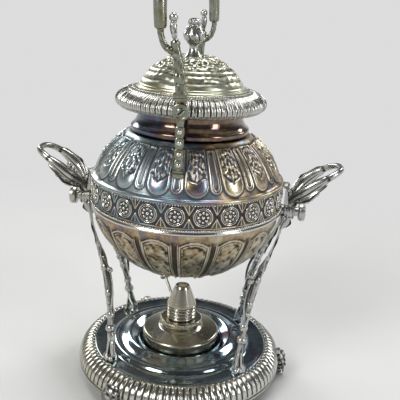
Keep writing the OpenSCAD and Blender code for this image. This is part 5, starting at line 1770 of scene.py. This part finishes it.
class KETTLE_OT_band(bpy.types.Operator):
    """Makes the band of rosettes, its beads and its moulding"""

    bl_idname = "kettle.band"
    bl_label = "Band"

    def execute(self, context):
        make_band()
        return {"FINISHED"}


class KETTLE_OT_shell(bpy.types.Operator):
    """Makes the panelled shell and the neck"""

    bl_idname = "kettle.shell"
    bl_label = "Shell and neck"

    def execute(self, context):
        make_shell()
        return {"FINISHED"}


class KETTLE_OT_spout(bpy.types.Operator):
    """Makes the fluted spout"""

    bl_idname = "kettle.spout"
    bl_label = "Spout"

    def execute(self, context):
        make_spout()
        return {"FINISHED"}


class KETTLE_OT_straps(bpy.types.Operator):
    """Makes the straps, studs, screws, lugs and hinge"""

    bl_idname = "kettle.straps"
    bl_label = "Straps and small parts"

    def execute(self, context):
        make_straps()
        return {"FINISHED"}


class KETTLE_OT_bail(bpy.types.Operator):
    """Makes the bail with its arms, buds, tubes, rings and grip"""

    bl_idname = "kettle.bail"
    bl_label = "Bail"

    def execute(self, context):
        make_bail()
        return {"FINISHED"}


class KETTLE_OT_lid(bpy.types.Operator):
    """Makes the lid with its dome, brim and finial"""

    bl_idname = "kettle.lid"
    bl_label = "Lid"

    def execute(self, context):
        make_lid()
        return {"FINISHED"}


class KETTLE_OT_base(bpy.types.Operator):
    """Makes the tray, the gadrooned rim and the burner's well"""

    bl_idname = "kettle.base"
    bl_label = "Base"

    def execute(self, context):
        make_base()
        make_feet()
        return {"FINISHED"}


class KETTLE_OT_legs(bpy.types.Operator):
    """Makes the four legs"""

    bl_idname = "kettle.legs"
    bl_label = "Legs"

    def execute(self, context):
        make_legs()
        return {"FINISHED"}


class KETTLE_OT_handles(bpy.types.Operator):
    """Makes the brackets, the tilting pins and the side handles"""

    bl_idname = "kettle.handles"
    bl_label = "Brackets and side handles"

    def execute(self, context):
        make_brackets()
        make_handles()
        return {"FINISHED"}


class KETTLE_OT_burner(bpy.types.Operator):
    """Makes the burner with its wick and winder"""

    bl_idname = "kettle.burner"
    bl_label = "Burner"

    def execute(self, context):
        make_burner()
        return {"FINISHED"}


STEPS = (
    KETTLE_OT_finishes, KETTLE_OT_stage, KETTLE_OT_bowl, KETTLE_OT_band, KETTLE_OT_shell,
    KETTLE_OT_spout, KETTLE_OT_straps, KETTLE_OT_bail, KETTLE_OT_lid, KETTLE_OT_base,
    KETTLE_OT_legs, KETTLE_OT_handles, KETTLE_OT_burner,
)


class KETTLE_PT_panel(bpy.types.Panel):
    """Lists the kettle's parts, sizes and colours"""

    bl_idname = "KETTLE_PT_panel"
    bl_label = "Spirit kettle"
    bl_space_type = "VIEW_3D"
    bl_region_type = "UI"
    bl_category = "Kettle"

    def draw(self, context):
        for group in (context.scene.kettle_sizes, context.scene.kettle_colours):
            box = self.layout.box()
            for name in group.__annotations__:
                box.prop(group, name)
        for step in STEPS:
            self.layout.operator(step.bl_idname)


CLASSES = (KettleSizes, KettleColours, *STEPS, KETTLE_PT_panel)


def register():
    """Adds the classes and the scene's sizes and colours."""
    for item in CLASSES:
        bpy.utils.register_class(item)
    bpy.types.Scene.kettle_sizes = PointerProperty(type=KettleSizes)
    bpy.types.Scene.kettle_colours = PointerProperty(type=KettleColours)


def unregister():
    """Takes them away again."""
    del bpy.types.Scene.kettle_colours
    del bpy.types.Scene.kettle_sizes
    for item in reversed(CLASSES):
        bpy.utils.unregister_class(item)


def main():
    """Makes the whole kettle."""
    register()
    for step in STEPS:
        group, name = step.bl_idname.split(".")
        getattr(getattr(bpy.ops, group), name)()


if __name__ == "__main__":
    main()
